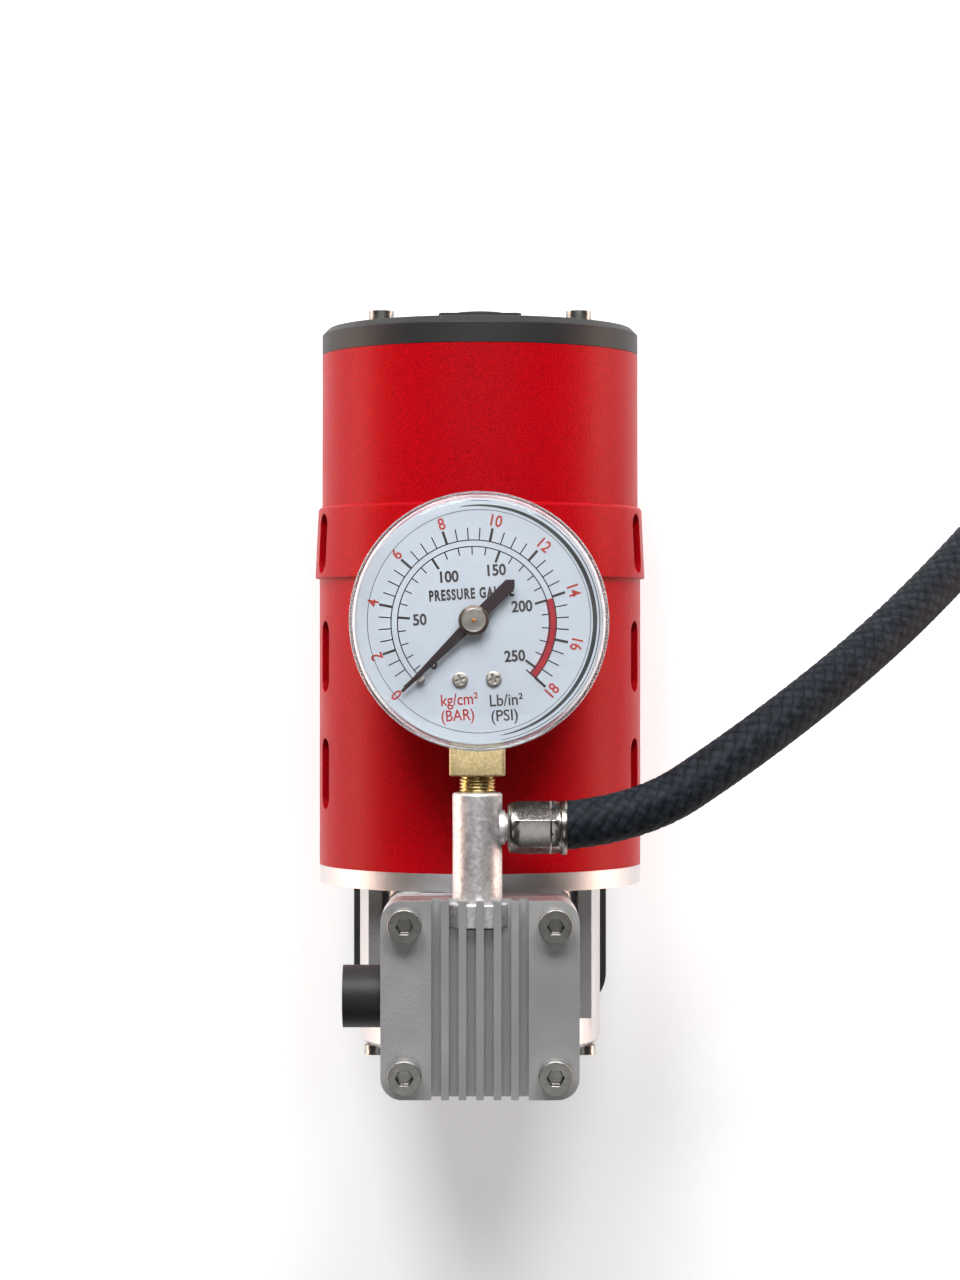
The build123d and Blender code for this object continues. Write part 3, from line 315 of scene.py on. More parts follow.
def clear(name, roughness):
    """Clear moulding: glass for the eye, open for lamps."""
    material = bpy.data.materials.new(name)
    tree = Nodes(material)
    tree.nodes.remove(tree.nodes["Principled BSDF"])
    glass = tree.node("BsdfGlass")
    glass.inputs["IOR"].default_value = 1.3
    glass.inputs["Roughness"].default_value = roughness
    glass.inputs["Color"].default_value = (0.95, 0.955, 0.96, 1)
    opening = tree.node("BsdfTransparent")
    opening.inputs["Color"].default_value = (0.96, 0.97, 0.98, 1)
    mix = tree.node("MixShader")
    tree.link(tree.node("LightPath").outputs["Is Shadow Ray"], mix.inputs[0])
    tree.link(glass.outputs[0], mix.inputs[1])
    tree.link(opening.outputs[0], mix.inputs[2])
    tree.link(mix.outputs[0], tree.nodes["Material Output"].inputs["Surface"])
    return material


OTHER_LOOKS = {"red_shell": red_shell, "brass": brass, "hose_braid": hose_braid, "floor_paper": floor_paper}
CLEAR_LOOKS = {"clear_plastic": 0.0, "clear_rim": 0.16}
MADE = {}


def look(name):
    """The material of a name, made when it is first asked for."""
    if name not in MADE:
        if name in PLAIN_LOOKS:
            MADE[name] = plain(name, **PLAIN_LOOKS[name])
        elif name in CLEAR_LOOKS:
            MADE[name] = clear(name, CLEAR_LOOKS[name])
        else:
            MADE[name] = OTHER_LOOKS[name]()
    return MADE[name]


SLOT_LOOKS = {
    "red_plastic": "red_shell",
    "black_plastic": "black_mould",
    "gauge_black": "black_mould",
    "lever_plastic": "black_mould",
    "filter_plastic": "black_mould",
    "rocker_plastic": "rocker_red",
    "zinc_steel": "zinc_screw",
    "bright_steel": "bright_steel",
    "plain_steel": "plain_steel",
    "cast_aluminium": "cast_aluminium",
    "satin_zinc": "satin_zinc",
    "nickel": "polished_nickel",
    "brass": "brass",
    "copper": "copper",
    "ferrite": "ferrite",
    "gasket": "fibre",
    "rubber": "rubber",
    "base_paint": "powder_coat",
    "clear_lens": "clear_plastic",
}


def dress_cad_nodes():
    """Gives every carried-over CAD node the material of its slot."""
    slots = {s["node"]: s["material_slot"] for s in frame["record"]["subparts"]}
    for name, obj in frame["nodes"].items():
        if slots[name] in SLOT_LOOKS:
            obj.data.materials.clear()
            obj.data.materials.append(look(SLOT_LOOKS[slots[name]]))


# ---------------------------------------------------------------- studio, in metres and watts
KEY_PLACE = (0.24, 0.80, 0.86)    # of the right one; the left one mirrors it
KEY_SIZE = (0.34, 0.5)
KEY_WATTS = {-1: 10.6, 1: 9.8}    # at the left and at the right
SIDE_PLACE = (0.5, 0.02, 0.022)
SIDE_SIZE = (0.7, 0.04)
SIDE_WATTS = 1.6
SIDE_COLOR = (1.0, 0.66, 0.5)
CARD_PLACE = (0, -0.36, 0.9)      # seen in the lower panel of the hose's ferrule
CARD_SIZE = (0.24, 0.35)
CARD_WATTS = 0.4
GAUGE_AIM = 80 * MM
SIDE_AIM = 45 * MM
ZENITH = 0.012
HORIZON = 0.33
HORIZON_HEIGHTS = (0.02, 0.42)    # between them the glow at the horizon fades out
FLOOR_WIDTH = 40
FLOOR_DROP = 0.2 * MM             # below the feet
FLOOR_REACH = (0.35, 2.2)         # distances over which the floor's glow grows
FLOOR_GLOW = (0.42, 1.1)
CAMERA_OVER_GAUGE = 640 * MM
CAMERA_BEFORE_GAUGE = 3.85 * MM
LENS_MM = 88.3


def sky():
    """A studio that is bright low down at the left and right, and dim overhead."""
    world = bpy.data.worlds.new("studio")
    bpy.context.scene.world = world
    tree = Nodes(world)
    place = tree.node("SeparateXYZ")
    tree.link(tree.node("TexCoord").outputs["Generated"], place.inputs[0])
    low = tree.spread(place.outputs["Z"], HORIZON_HEIGHTS, (HORIZON, 0.0), interpolation_type="SMOOTHSTEP")
    glow = tree.math("MULTIPLY", tree.math("ABSOLUTE", place.outputs["X"]), low)
    background = tree.nodes["Background"]
    tree.link(tree.math("ADD", glow, ZENITH), background.inputs["Strength"])
    background.inputs["Color"].default_value = (0.97, 0.985, 1.0, 1)


def soft_light(name, place, size, watts, aim_z):
    """A rectangular soft light that looks at the gauge, or under it."""
    data = bpy.data.lights.new(name, "AREA")
    data.shape = "RECTANGLE"
    data.size, data.size_y = size
    data.energy = watts
    light = bpy.data.objects.new(name, data)
    bpy.context.scene.collection.objects.link(light)
    light.location = place
    aim = Vector((0, GAUGE_Y, aim_z)) - light.location
    light.rotation_euler = aim.to_track_quat("-Z", "Y").to_euler()
    return light


def mirrored(place, side):
    return (side * place[0], *place[1:])


def studio():
    bpy.ops.mesh.primitive_plane_add(size=FLOOR_WIDTH, location=(0, 0, -FLOOR_DROP))
    floor = bpy.context.object
    floor.name = "floor"
    floor.data.materials.append(look("floor_paper"))
    sky()
    for side in (-1, 1):
        soft_light("key", mirrored(KEY_PLACE, side), KEY_SIZE, KEY_WATTS[side], GAUGE_AIM)
    for side in (-1, 1):
        light = soft_light("side", mirrored(SIDE_PLACE, side), SIDE_SIZE, SIDE_WATTS, SIDE_AIM)
        light.data.color = SIDE_COLOR
    soft_light("card", CARD_PLACE, CARD_SIZE, CARD_WATTS, GAUGE_AIM)
    scene = bpy.context.scene
    scene.view_settings.view_transform = "Standard"
    scene.view_settings.look = "None"


def camera():
    data = bpy.data.cameras.new("camera")
    data.lens = LENS_MM
    data.clip_start = 10 * MM
    view = bpy.data.objects.new("camera", data)
    bpy.context.scene.collection.objects.link(view)
    view.location = (0, GAUGE_Y - CAMERA_BEFORE_GAUGE, GAUGE_TOP + CAMERA_OVER_GAUGE)
    bpy.context.scene.camera = view


# ---------------------------------------------------------------- mesh helpers
BEVEL_SEGMENTS = 3
BEVEL_ANGLE = radians(30)
SAME_PLACE = 1e-7                 # points nearer than this are joined
NO_LENGTH = 1e-8


def finished(name, bm, material, body, replaces=(), bevel=0.0, sharp=35):
    """Turns a bmesh into a piece that rides on a body, with softened edges."""
    bmesh.ops.recalc_face_normals(bm, faces=bm.faces)
    mesh = bpy.data.meshes.new(name)
    bm.to_mesh(mesh)
    bm.free()
    mesh.shade_smooth()
    mesh.set_sharp_from_angle(angle=radians(sharp))
    piece = bpy.data.objects.new(name, mesh)
    bpy.context.scene.collection.objects.link(piece)
    mesh.materials.append(material)
    if bevel:
        edge = piece.modifiers.new("edge", "BEVEL")
        edge.width = bevel
        edge.segments = BEVEL_SEGMENTS
        edge.limit_method = "ANGLE"
        edge.angle_limit = BEVEL_ANGLE
        edge.harden_normals = True
    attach(piece, body)
    if replaces:
        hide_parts(*replaces)
    return piece


def add_rings(bm, rings, cap_first=True, cap_last=True):
    """Skins closed rings of points, each with the same number of points."""
    rows = [[bm.verts.new(p) for p in ring] for ring in rings]
    count = len(rows[0])
    for low, high in zip(rows, rows[1:]):
        for i in range(count):
            j = (i + 1) % count
            bm.faces.new((low[i], low[j], high[j], high[i]))
    if cap_first:
        bm.faces.new(rows[0])
    if cap_last:
        bm.faces.new(rows[-1])


def add_strip(bm, rows):
    """Skins an open strip through pairs of points."""
    pairs = [[bm.verts.new(p) for p in row] for row in rows]
    for low, high in zip(pairs, pairs[1:]):
        bm.faces.new((low[0], low[1], high[1], high[0]))


def around_axis(axis):
    """The axis as a direction, and two directions across it."""
    axis = Vector(axis)
    side = UP.cross(axis) if abs(axis.z) < 0.9 else Vector((1, 0, 0))
    return axis, side, axis.cross(side)


def add_lathe(bm, base, axis, profile, around=96, radius_at=None):
    """Turns a profile of (radius, height) in mm about an axis through base. Ends of radius 0 close in a point."""
    axis, side, up = around_axis(axis)
    rings = []
    for radius, height in profile:
        ring = []
        for i in range(around):
            angle = 2 * pi * i / around
            r = radius_at(radius, height, angle) if radius_at else radius
            across = side * cos(angle) + up * sin(angle)
            ring.append(Vector(base) + axis * height * MM + across * r * MM)
        rings.append(ring)
    open_profile = profile[0] != profile[-1]
    add_rings(bm, rings, open_profile and profile[0][0] > 0, open_profile and profile[-1][0] > 0)
    bmesh.ops.remove_doubles(bm, verts=bm.verts, dist=SAME_PLACE)
    bmesh.ops.dissolve_degenerate(bm, edges=bm.edges, dist=NO_LENGTH)


def turned(name, base, axis, profile, around, material, body, replaces=(), sharp=35, radius_at=None):
    """A finished piece that is one lathe."""
    bm = bmesh.new()
    add_lathe(bm, base, axis, profile, around, radius_at)
    return finished(name, bm, material, body, replaces, sharp=sharp)


def curve_mesh(name, data):
    """The mesh that a curve or text makes. The curve is used up."""
    holder = bpy.data.objects.new(name, data)
    bpy.context.scene.collection.objects.link(holder)
    bpy.context.view_layer.update()
    mesh = bpy.data.meshes.new_from_object(holder.evaluated_get(bpy.context.evaluated_depsgraph_get()))
    bpy.data.objects.remove(holder)
    bpy.data.curves.remove(data)
    return mesh


def smooth_step(value, low, high):
    t = min(1.0, max(0.0, (value - low) / (high - low)))
    return t * t * (3 - 2 * t)


def arc(x, y, radius, start, stop, steps):
    """Points of an arc in a profile, by angles in degrees."""
    turns = [radians(start + (stop - start) * i / steps) for i in range(steps + 1)]
    return [(x + radius * cos(t), y + radius * sin(t)) for t in turns]


def bar_rings(corners, low, high):
    """Rings of a straight bar along Y, by its corners as (x, z) in mm from the stem's axis."""
    return [[Vector((STEM_X + x * MM, y, STEM_Z + z * MM)) for x, z in corners] for y in (low, high)]


# ---------------------------------------------------------------- softened CAD nodes
EDGE_WIDTHS = {                   # in mm
    "front_housing": 0.35,
    "rear_cover": 0.35,
    "tail_cap": 0.5,
    "switch_bezel": 0.4,
    "switch_rocker": 0.4,
    "cord_gland": 0.3,
    "crankcase": 0.6,
    "crankcase_cover": 0.4,
    "cylinder_barrel": 0.35,
    "cylinder_head": 0.45,
    "intake_cap": 0.4,
    "chuck_body": 0.4,
    "chuck_lever": 0.4,
    "chuck_ferrule": 0.25,
    "chuck_seal": 0.2,
    "base_plate": 0.35,
    "rear_saddle": 0.5,
    "rubber_feet": 0.5,
    "case_screws": 0.15,
    "head_screws": 0.2,
    "base_screws": 0.15,
}
WHOLE_FACES = ("crankcase_cover",)  # flat faces with holes, which stay as triangles
WELD_GAP = 1e-6
FLAT_ANGLE = radians(0.4)         # faces that turn less than this are one flat face
CAD_BEVEL_ANGLE = radians(40)
FACE_WEIGHT = 70                  # of large faces over small ones in the shading


def soften(name, width):
    """Rounds the sharp edges of a CAD node by modifiers, so that they catch the light."""
    obj = frame["nodes"][name]
    weld = obj.modifiers.new("weld", "WELD")
    weld.merge_threshold = WELD_GAP
    if name not in WHOLE_FACES:
        flat = obj.modifiers.new("flat", "DECIMATE")
        flat.decimate_type = "DISSOLVE"
        flat.angle_limit = FLAT_ANGLE
    edge = obj.modifiers.new("edge", "BEVEL")
    edge.width = width * MM
    edge.segments = BEVEL_SEGMENTS
    edge.limit_method = "ANGLE"
    edge.angle_limit = CAD_BEVEL_ANGLE
    normals = obj.modifiers.new("normals", "WEIGHTED_NORMAL")
    normals.keep_sharp = False
    normals.weight = FACE_WEIGHT


# ---------------------------------------------------------------- gauge case and dial
# Profiles and their values are in mm, as (radius, height).
GAUGE = (GAUGE_X, GAUGE_Y)
DIAL_TOP = 111.1 * MM
DIAL_R = 25.55
DIAL_THICK = 0.5
CASE_R = 25.6
CASE_BASE = 92.0
CASE_AROUND = 144


def gauge_case():
    """A deep pressed case with a rolled foot, a groove and a ledge for the dial, behind the lens."""
    top = DIAL_TOP / MM - DIAL_THICK
    profile = [(0, CASE_BASE), (22.4, CASE_BASE)] + arc(CASE_R - 2.0, CASE_BASE + 2.0, 2.0, -90, 0, 8)
    profile += [(CASE_R, 96.5), (CASE_R, 101.0), (CASE_R - 0.25, 101.2), (CASE_R - 0.25, 101.7), (CASE_R, 101.9)]
    profile += [(CASE_R, top - 0.2), (CASE_R - 0.2, top), (0, top)]
    turned("gauge_case_shell", (*GAUGE, 0), UP, profile, CASE_AROUND, look("case_mould"), "frame",
           ["gauge_case"])


def dial_plate():
    profile = [(0, 0), (DIAL_R - 0.3, 0), (DIAL_R, 0.15), (DIAL_R, 0.4), (DIAL_R - 0.15, DIAL_THICK)]
    profile += [(DIAL_R - 0.5, DIAL_THICK), (0, DIAL_THICK)]
    turned("dial_plate", (*GAUGE, DIAL_TOP - DIAL_THICK * MM), UP, profile, CASE_AROUND, look("dial_enamel"), "frame",
           ["gauge_dial"])


def clockwise(angle, radius, center=(0, 0), z=0.0):
    """A point by its angle clockwise from +Y, in degrees, and its radius in mm, from a centre in metres."""
    turn = radians(angle)
    return Vector((center[0] + radius * MM * sin(turn), center[1] + radius * MM * cos(turn), z))


# ---------------------------------------------------------------- dial print
# Angles are in degrees clockwise from +Y, and lengths in mm. The scales share a centre beside the gauge's own.
DIAL_TURN = radians(3.8)
SCALES = (GAUGE_X - 1.1 * MM, GAUGE_Y - 0.3 * MM)
PRINT_LIFT = 0.03 * MM
PRINT_Z = DIAL_TOP + PRINT_LIFT
CAP_HEIGHT = 0.729                # of the built-in font, at size 1
SCALE_START = -132.4
SCALE_STOP = 131.8
INNER_LINE = 15.8
OUTER_LINE = 17.15
LINE_WIDTH = 0.24
BORDER_R = 23.15
BORDER_WIDTH = 0.12
ARC_STEP = 2                      # degrees in one facet
BAR_AT_ZERO = -139.3
BAR_ANGLE = 15.06
PSI_AT_50 = -86.1
PSI_ANGLE = 1.06
BAR_TICKS = {True: (2.8, 0.54), False: (2.6, 0.25)}     # length and width of marks, major and minor
PSI_TICKS = {True: (2.55, 0.5), False: (1.65, 0.25)}
RED_ZONE = (72.5, 131.4)
GAP_R = (23.6, 24.5)              # radii of the painted shade in the gap at the dial's edge, where it is widest
GAP_FROM = -10
GAP_STEPS = 120
PSI_NUMBERS = (
    ("50", -12.3, 0.2), ("100", -6.4, 9.1), ("150", 3.4, 10.5), ("200", 8.9, 3.0), ("250", 7.4, -7.3),
    ("0", -9.4, -8.9),
)


def add_mark(bm, angle, inner, outer, width):
    """A scale mark between two radii, as a flat strip on the dial."""
    along = clockwise(angle, 1.0).normalized()
    across = Vector((along.y, -along.x, 0)) * width * MM / 2
    corners = []
    for radius, sign in ((inner, -1), (inner, 1), (outer, 1), (outer, -1)):
        corners.append(bm.verts.new(clockwise(angle, radius, SCALES, PRINT_Z) + across * sign))
    bm.faces.new(corners)


def add_arc_band(bm, middle, width, start, stop, z=PRINT_Z, center=SCALES):
    steps = ceil(abs(stop - start) / ARC_STEP)
    rows = []
    for i in range(steps + 1):
        angle = start + (stop - start) * i / steps
        rows.append([clockwise(angle, r, center, z) for r in (middle - width / 2, middle + width / 2)])
    add_strip(bm, rows)


def add_text(bm, words, x, y, height, width=None, turn=DIAL_TURN, bold=0.0, narrow=1.0, spacing=1.0):
    """Words on the dial, centred at x, y in mm from the gauge's middle, squeezed sideways or to a width in mm."""
    data = bpy.data.curves.new("words", "FONT")
    data.body = words
    data.align_x = "CENTER"
    data.align_y = "CENTER"
    data.offset = bold
    data.space_character = spacing
    data.resolution_u = 4
    data.fill_mode = "FRONT"
    mesh = curve_mesh("words", data)
    scale = height * MM / CAP_HEIGHT
    side = scale * narrow
    if width:
        xs = [v.co.x for v in mesh.vertices]
        side = width * MM / (max(xs) - min(xs))
    place = Matrix.Translation((GAUGE_X + x * MM, GAUGE_Y + y * MM, PRINT_Z))
    mesh.transform(place @ Matrix.Rotation(turn, 4, "Z") @ Matrix.Diagonal((side, scale, 0.0, 1)))
    bm.from_mesh(mesh)
    bpy.data.meshes.remove(mesh)


def print_piece(name, fill, color):
    """A flat piece of ink on the dial, filled in by a function."""
    bm = bmesh.new()
    fill(bm)
    bmesh.ops.triangulate(bm, faces=bm.faces)
    for face in bm.faces:
        if face.normal.z < 0:
            face.normal_flip()
    mesh = bpy.data.meshes.new(name)
    bm.to_mesh(mesh)
    bm.free()
    mesh.materials.append(ink(name, color))
    piece = bpy.data.objects.new(name, mesh)
    bpy.context.scene.collection.objects.link(piece)
    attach(piece, "frame")


def bar_angle(bar):
    return BAR_AT_ZERO + BAR_ANGLE * bar


def dark_print(bm):
    for radius in (INNER_LINE, OUTER_LINE):
        add_arc_band(bm, radius, LINE_WIDTH, SCALE_START, SCALE_STOP)
    for half in range(2, 37):
        length, width = BAR_TICKS[half % 4 == 0]
        add_mark(bm, bar_angle(half / 2), OUTER_LINE, OUTER_LINE + length, width)
    add_mark(bm, SCALE_START, OUTER_LINE, OUTER_LINE + 2.5, 0.26)
    for ten in range(1, 26):
        length, width = PSI_TICKS[ten % 5 == 0]
        angle = PSI_AT_50 + PSI_ANGLE * (10 * ten - 50)
        add_mark(bm, angle, INNER_LINE, INNER_LINE - length, width)
    add_arc_band(bm, BORDER_R, BORDER_WIDTH, -180, 180, PRINT_Z, GAUGE)
    add_mark(bm, SCALE_STOP, INNER_LINE - 1.2, OUTER_LINE + 0.3, 0.3)
    for words, x, y in PSI_NUMBERS:
        add_text(bm, words, x, y, 2.35, narrow=0.9, bold=0.03)
    add_text(bm, "PRESSURE GAUGE", -1.6, 5.65, 2.2, width=17.6, bold=0.045, spacing=1.2)
    add_text(bm, "Lb/in\u00b2", 5.6, -16.4, 2.5, width=6.9, bold=0.012)
    add_text(bm, "(PSI)", 5.3, -19.6, 2.4, width=5.5, bold=0.012)


def red_print(bm):
    for bar in range(2, 19, 2):
        angle = bar_angle(bar)
        place = clockwise(angle, 21.4) / MM
        turn = radians(180 - angle if bar == 18 else -angle)
        add_text(bm, str(bar), place.x - 0.85, place.y - 0.25, 2.45, turn=turn, narrow=0.88, bold=0.02)
    place = clockwise(-132.8, 21.9) / MM
    add_text(bm, "0", place.x - 0.95, place.y - 0.3, 2.45, turn=radians(132.8), narrow=0.88, bold=0.02)
    add_text(bm, "kg/cm\u00b2", -4.1, -16.3, 2.5, width=7.7, bold=0.012)
    add_text(bm, "(BAR)", -4.4, -19.6, 2.4, width=6.8, bold=0.012)


def red_zone(bm):
    inner, outer = INNER_LINE - 0.3, OUTER_LINE + 0.1
    add_arc_band(bm, (inner + outer) / 2, outer - inner, *RED_ZONE, DIAL_TOP + PRINT_LIFT / 2)


def crescent():
    """A dark strip of painted shade where the gap between the dial and the case lies, widest at the right."""
    middle, reach = sum(GAP_R) / 2, (GAP_R[1] - GAP_R[0]) / 2
    rows = []
    for i in range(GAP_STEPS + 1):
        angle = GAP_FROM + 180 * i / GAP_STEPS
        half = reach * sin(pi * i / GAP_STEPS) ** 0.5
        rows.append([clockwise(angle, r, GAUGE, PRINT_Z) for r in (middle - half, middle + half)])
    bm = bmesh.new()
    add_strip(bm, rows)
    bmesh.ops.remove_doubles(bm, verts=bm.verts, dist=SAME_PLACE)
    # The strip takes the rubber material, but it is painted shade in the gap, not a rubber seal.
    finished("dial_gap_painted_shade", bm, look("rubber"), "frame")


def dial():
    dial_plate()
    crescent()
    print_piece("dial_print_dark", dark_print, (0.016, 0.009, 0.010))
    print_piece("dial_print_red", red_print, (0.24, 0.018, 0.011))
    print_piece("dial_red_zone", red_zone, (0.19, 0.002, 0.006))


# ---------------------------------------------------------------- dial screws, in mm
SCREW_R = 1.62
SCREW_MIDDLE = 0.02               # radius of the innermost ring
SCREW_TOP = 0.8
SCREW_DOME = 0.14                 # fall of the head from its middle to its rim
RIM_DROP = 0.24
RIM_WIDTH = 0.32
CROSS_DEPTH = 0.5
CROSS_TURN = 20
CROSS_HALF_WIDTH = (0.17, 0.31)   # where a recess arm starts to rise, and where it ends
CROSS_REACH = (0.85, 1.1)
SCREW_AROUND = 96
SCREW_STEPS = 26


def head_height(radius, angle):
    """A low dome with a rounded rim and a cross recess, over the dial."""
    dome = SCREW_TOP - SCREW_DOME * (radius / SCREW_R) ** 2
    rim = RIM_DROP * smooth_step(radius, SCREW_R - RIM_WIDTH, SCREW_R)
    along, across = radius * abs(cos(angle)), radius * abs(sin(angle))
    arm = 1 - smooth_step(min(along, across), *CROSS_HALF_WIDTH)
    reach = 1 - smooth_step(max(along, across), *CROSS_REACH)
    return dome - rim - CROSS_DEPTH * arm * reach


def dial_screw(name, x, y):
    """A pan-head screw with a cross recess, on the dial, by its place from the gauge's middle."""
    center = Vector((GAUGE_X + x * MM, GAUGE_Y + y * MM, DIAL_TOP))
    rings = []
    for step in range(SCREW_STEPS + 1):
        radius = max(SCREW_MIDDLE, SCREW_R * step / SCREW_STEPS)
        ring = []
        for i in range(SCREW_AROUND):
            angle = 2 * pi * i / SCREW_AROUND
            height = head_height(radius, angle - radians(CROSS_TURN))
            ring.append(center + Vector((radius * cos(angle), radius * sin(angle), height)) * MM)
        rings.append(ring)
    rings.append([Vector((p.x, p.y, DIAL_TOP)) for p in rings[-1]])
    bm = bmesh.new()
    add_rings(bm, rings)
    return finished(name, bm, look("dial_screw_zinc"), "frame", sharp=50)


def dial_fixings():
    first = dial_screw("dial_screw_left", -3.95, -12.1)
    dial_screw("dial_screw_right", 3.0, -11.9)
    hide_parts("dial_screws")
    pin = (GAUGE_X - 12.1 * MM, GAUGE_Y - 11.9 * MM, DIAL_TOP)
    profile = [(0, 1.7)] + arc(0.55, 1.35, 0.35, 90, 0, 4) + [(0.9, 0), (0, 0)]
    turned("stop_pin_post", pin, UP, profile, 32, look("dial_screw_zinc"), "frame", ["stop_pin"])


# ---------------------------------------------------------------- pointer
HUB = Vector((GAUGE_X - 1.1 * MM, GAUGE_Y + 0.2 * MM, 0))
POINTER_REST = -134.8             # degrees clockwise from +Y
POINTER_Z = (112.75 * MM, 113.15 * MM)
POINTER_OUTLINE = [               # in mm, with the tip along +Y
    (0.32, 20.9), (1.1, 3.0), (1.1, 0), (1.3, -2.9), (1.3, -10.6), (0, -11.9), (-1.3, -10.6), (-1.3, -2.9),
    (-1.1, 0), (-1.1, 3.0), (-0.32, 20.9),
]
COLLAR_R = 3.15
COLLAR_HEIGHT = 1.35
DISC_TOP = COLLAR_HEIGHT + 0.2


def pointer():
    spin = Matrix.Translation(HUB) @ Matrix.Rotation(radians(-POINTER_REST), 4, "Z")
    outline = [spin @ Vector((x * MM, y * MM, 0)) for x, y in POINTER_OUTLINE]
    bm = bmesh.new()
    add_rings(bm, [[Vector((p.x, p.y, z)) for p in outline] for z in POINTER_Z])
    finished("pointer_hand", bm, look("pointer_paint"), "hand", ["pointer"], bevel=0.08 * MM)
    collar = [(0, COLLAR_HEIGHT), (2.2, COLLAR_HEIGHT)] + arc(2.4, COLLAR_HEIGHT - 0.2, 0.2, 90, 0, 4)
    collar += [(2.6, 0.75), (2.72, 0.7), (COLLAR_R - 0.1, 0.62), (COLLAR_R, 0.45), (COLLAR_R, 0.0), (0, 0)]
    disc = [(0, 0.22), (1.8, 0.20), (2.2, 0.18)] + arc(2.3, 0.05, 0.16, 80, -60, 5) + [(0, -0.1)]
    tip = [(0, 0.26), (0.25, 0.22), (0.4, 0.1), (0.45, 0.0), (0, 0)]
    for name, height, profile, around, material, slot, replaces in (
        ("hub_collar", 0, collar, 72, "hub_dark", "hand_dark", ["pointer_hub"]),
        ("hub_disc", COLLAR_HEIGHT, disc, 72, "hub_silver", "bright_steel", []),
        ("arbor_tip", DISC_TOP, tip, 32, "tarnished_brass", "brass", []),
    ):
        base = HUB + Vector((0, 0, POINTER_Z[1] + height * MM))
        turned(name, base, UP, profile, around, look(material), "hand", replaces)


# ---------------------------------------------------------------- lens
RIM_START = 25.0                  # the radius in mm beyond which the lens is slightly frosted
LENS_TOP = 118.0
LENS_AROUND = 192


def lens():
    """A moulded cap: a flat face, a stepped shoulder and a skirt round the case."""
    outer = [(0, LENS_TOP), (22.8, LENS_TOP), (24.4, LENS_TOP), (24.5, LENS_TOP), (24.6, LENS_TOP - 0.01)]
    outer += [(24.7, 117.88), (24.8, 117.87), (25.1, 117.85)] + arc(25.2, 116.45, 1.4, 88, 0, 10)
    outer += [(26.6, 110.9), (26.4, 110.5)]
    inner = [(25.8, 110.5), (25.7, 110.9), (25.7, 115.0)] + arc(25.25, 115.85, 0.45, 0, 80, 5)
    inner += [(25.25, 116.33), (25.15, 116.35), (0, 116.35)]
    cap = turned("lens_cap", (*GAUGE, 0), UP, outer + inner, LENS_AROUND, look("clear_plastic"), "frame",
                 ["gauge_lens"], sharp=50)
    cap.data.materials.append(look("clear_rim"))
    for face in cap.data.polygons:
        if hypot(face.center.x - GAUGE_X, face.center.y - GAUGE_Y) > RIM_START * MM:
            face.material_index = 1


# ---------------------------------------------------------------- brass stem
ALONG_Y = (0, 1, 0)
STEM_HALF = 5.8
STEM_CORNER = 0.55
STEM_FRONT = GAUGE_Y - 32.0 * MM
STEM_BACK = GAUGE_Y - 24.0 * MM
NECK_R = 3.8
THREAD_PITCH = 0.72
THREAD_TURNS = 4


def stem():
    """A square stem with cut corners, and below it a short thread that enters the post."""
    cut = STEM_HALF - STEM_CORNER
    corners = [(-cut, STEM_HALF), (cut, STEM_HALF), (STEM_HALF, cut), (STEM_HALF, -cut)]
    corners += [(-x, -z) for x, z in corners]
    bm = bmesh.new()
    add_rings(bm, bar_rings(corners, STEM_FRONT, STEM_BACK))
    finished("stem_square", bm, look("brass"), "frame", ["gauge_stem"], bevel=0.4 * MM)
    profile = [(0, 0), (3.1, 0), (3.35, -0.35), (3.3, -0.6)]
    for i in range(THREAD_TURNS):
        y = -0.7 - THREAD_PITCH * i
        profile += [(NECK_R - 0.35, y), (NECK_R - 0.02, y - 0.2), (NECK_R, y - 0.32), (NECK_R - 0.05, y - 0.42)]
        profile += [(NECK_R - 0.38, y - 0.62)]
    profile += [(3.4, -3.7), (0, -3.7)]
    turned("stem_thread", (STEM_X, STEM_FRONT, STEM_Z), ALONG_Y, profile, 72, look("thread_brass"), "frame",
           sharp=60)


# ---------------------------------------------------------------- outlet post and ferrule
ALONG_X = (1, 0, 0)
POST_R = 5.2
POST_Y0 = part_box("outlet_post")[0].y
POST_Y1 = GAUGE_Y - 35.5 * MM
HEXAGON_R = 8.1
HEXAGON_LENGTH = 5.0 * MM
FERRULE_START = 5.7 * MM
FERRULE_R = 5.35
PANELS = 6
PANEL_TURN = radians(42)
PANEL_R = 5.15
PANEL_CURVE = 0.85                # 1 would be quite flat
PRESS_RISE = (1.0, 2.7)           # lengths along the ferrule in mm between which the pressing deepens
PRESS_FALL = (9.5, 11.1)
ROW_STEP = 0.2
FERRULE_AROUND = 240


def post():
    """A plated casting with a rounded lip, a hexagon at its foot and a barb for the hose."""
    length = (POST_Y1 - POST_Y0) / MM
    profile = [(0, 0.0), (POST_R - 0.6, 0.0), (POST_R, 0.3), (POST_R - 0.05, length - 9), (POST_R, length - 0.9)]
    profile += arc(POST_R - 0.7, length - 0.75, 0.7, 0, 90, 6) + [(4.1, length), (4.0, length - 0.5), (0, length - 0.5)]
    zinc = look("satin_zinc")
    turned("post_barrel", (STEM_X, POST_Y0, STEM_Z), ALONG_Y, profile, 96, zinc, "frame",
           ["outlet_post"], sharp=45)
    corners = [(HEXAGON_R * cos(radians(60 * i)), HEXAGON_R * sin(radians(60 * i))) for i in range(6)]
    bm = bmesh.new()
    add_rings(bm, bar_rings(corners, POST_Y0, POST_Y0 + HEXAGON_LENGTH))
    finished("post_hexagon", bm, zinc, "frame", bevel=0.35 * MM)
    profile = [(0, 4.0), (3.6, 4.0), (3.6, 5.2), (3.0, 5.3), (3.0, 9.0), (0, 9.0)]
    turned("post_barb", (0, HOSE_Y, STEM_Z), ALONG_X, profile, 48, zinc, "frame")


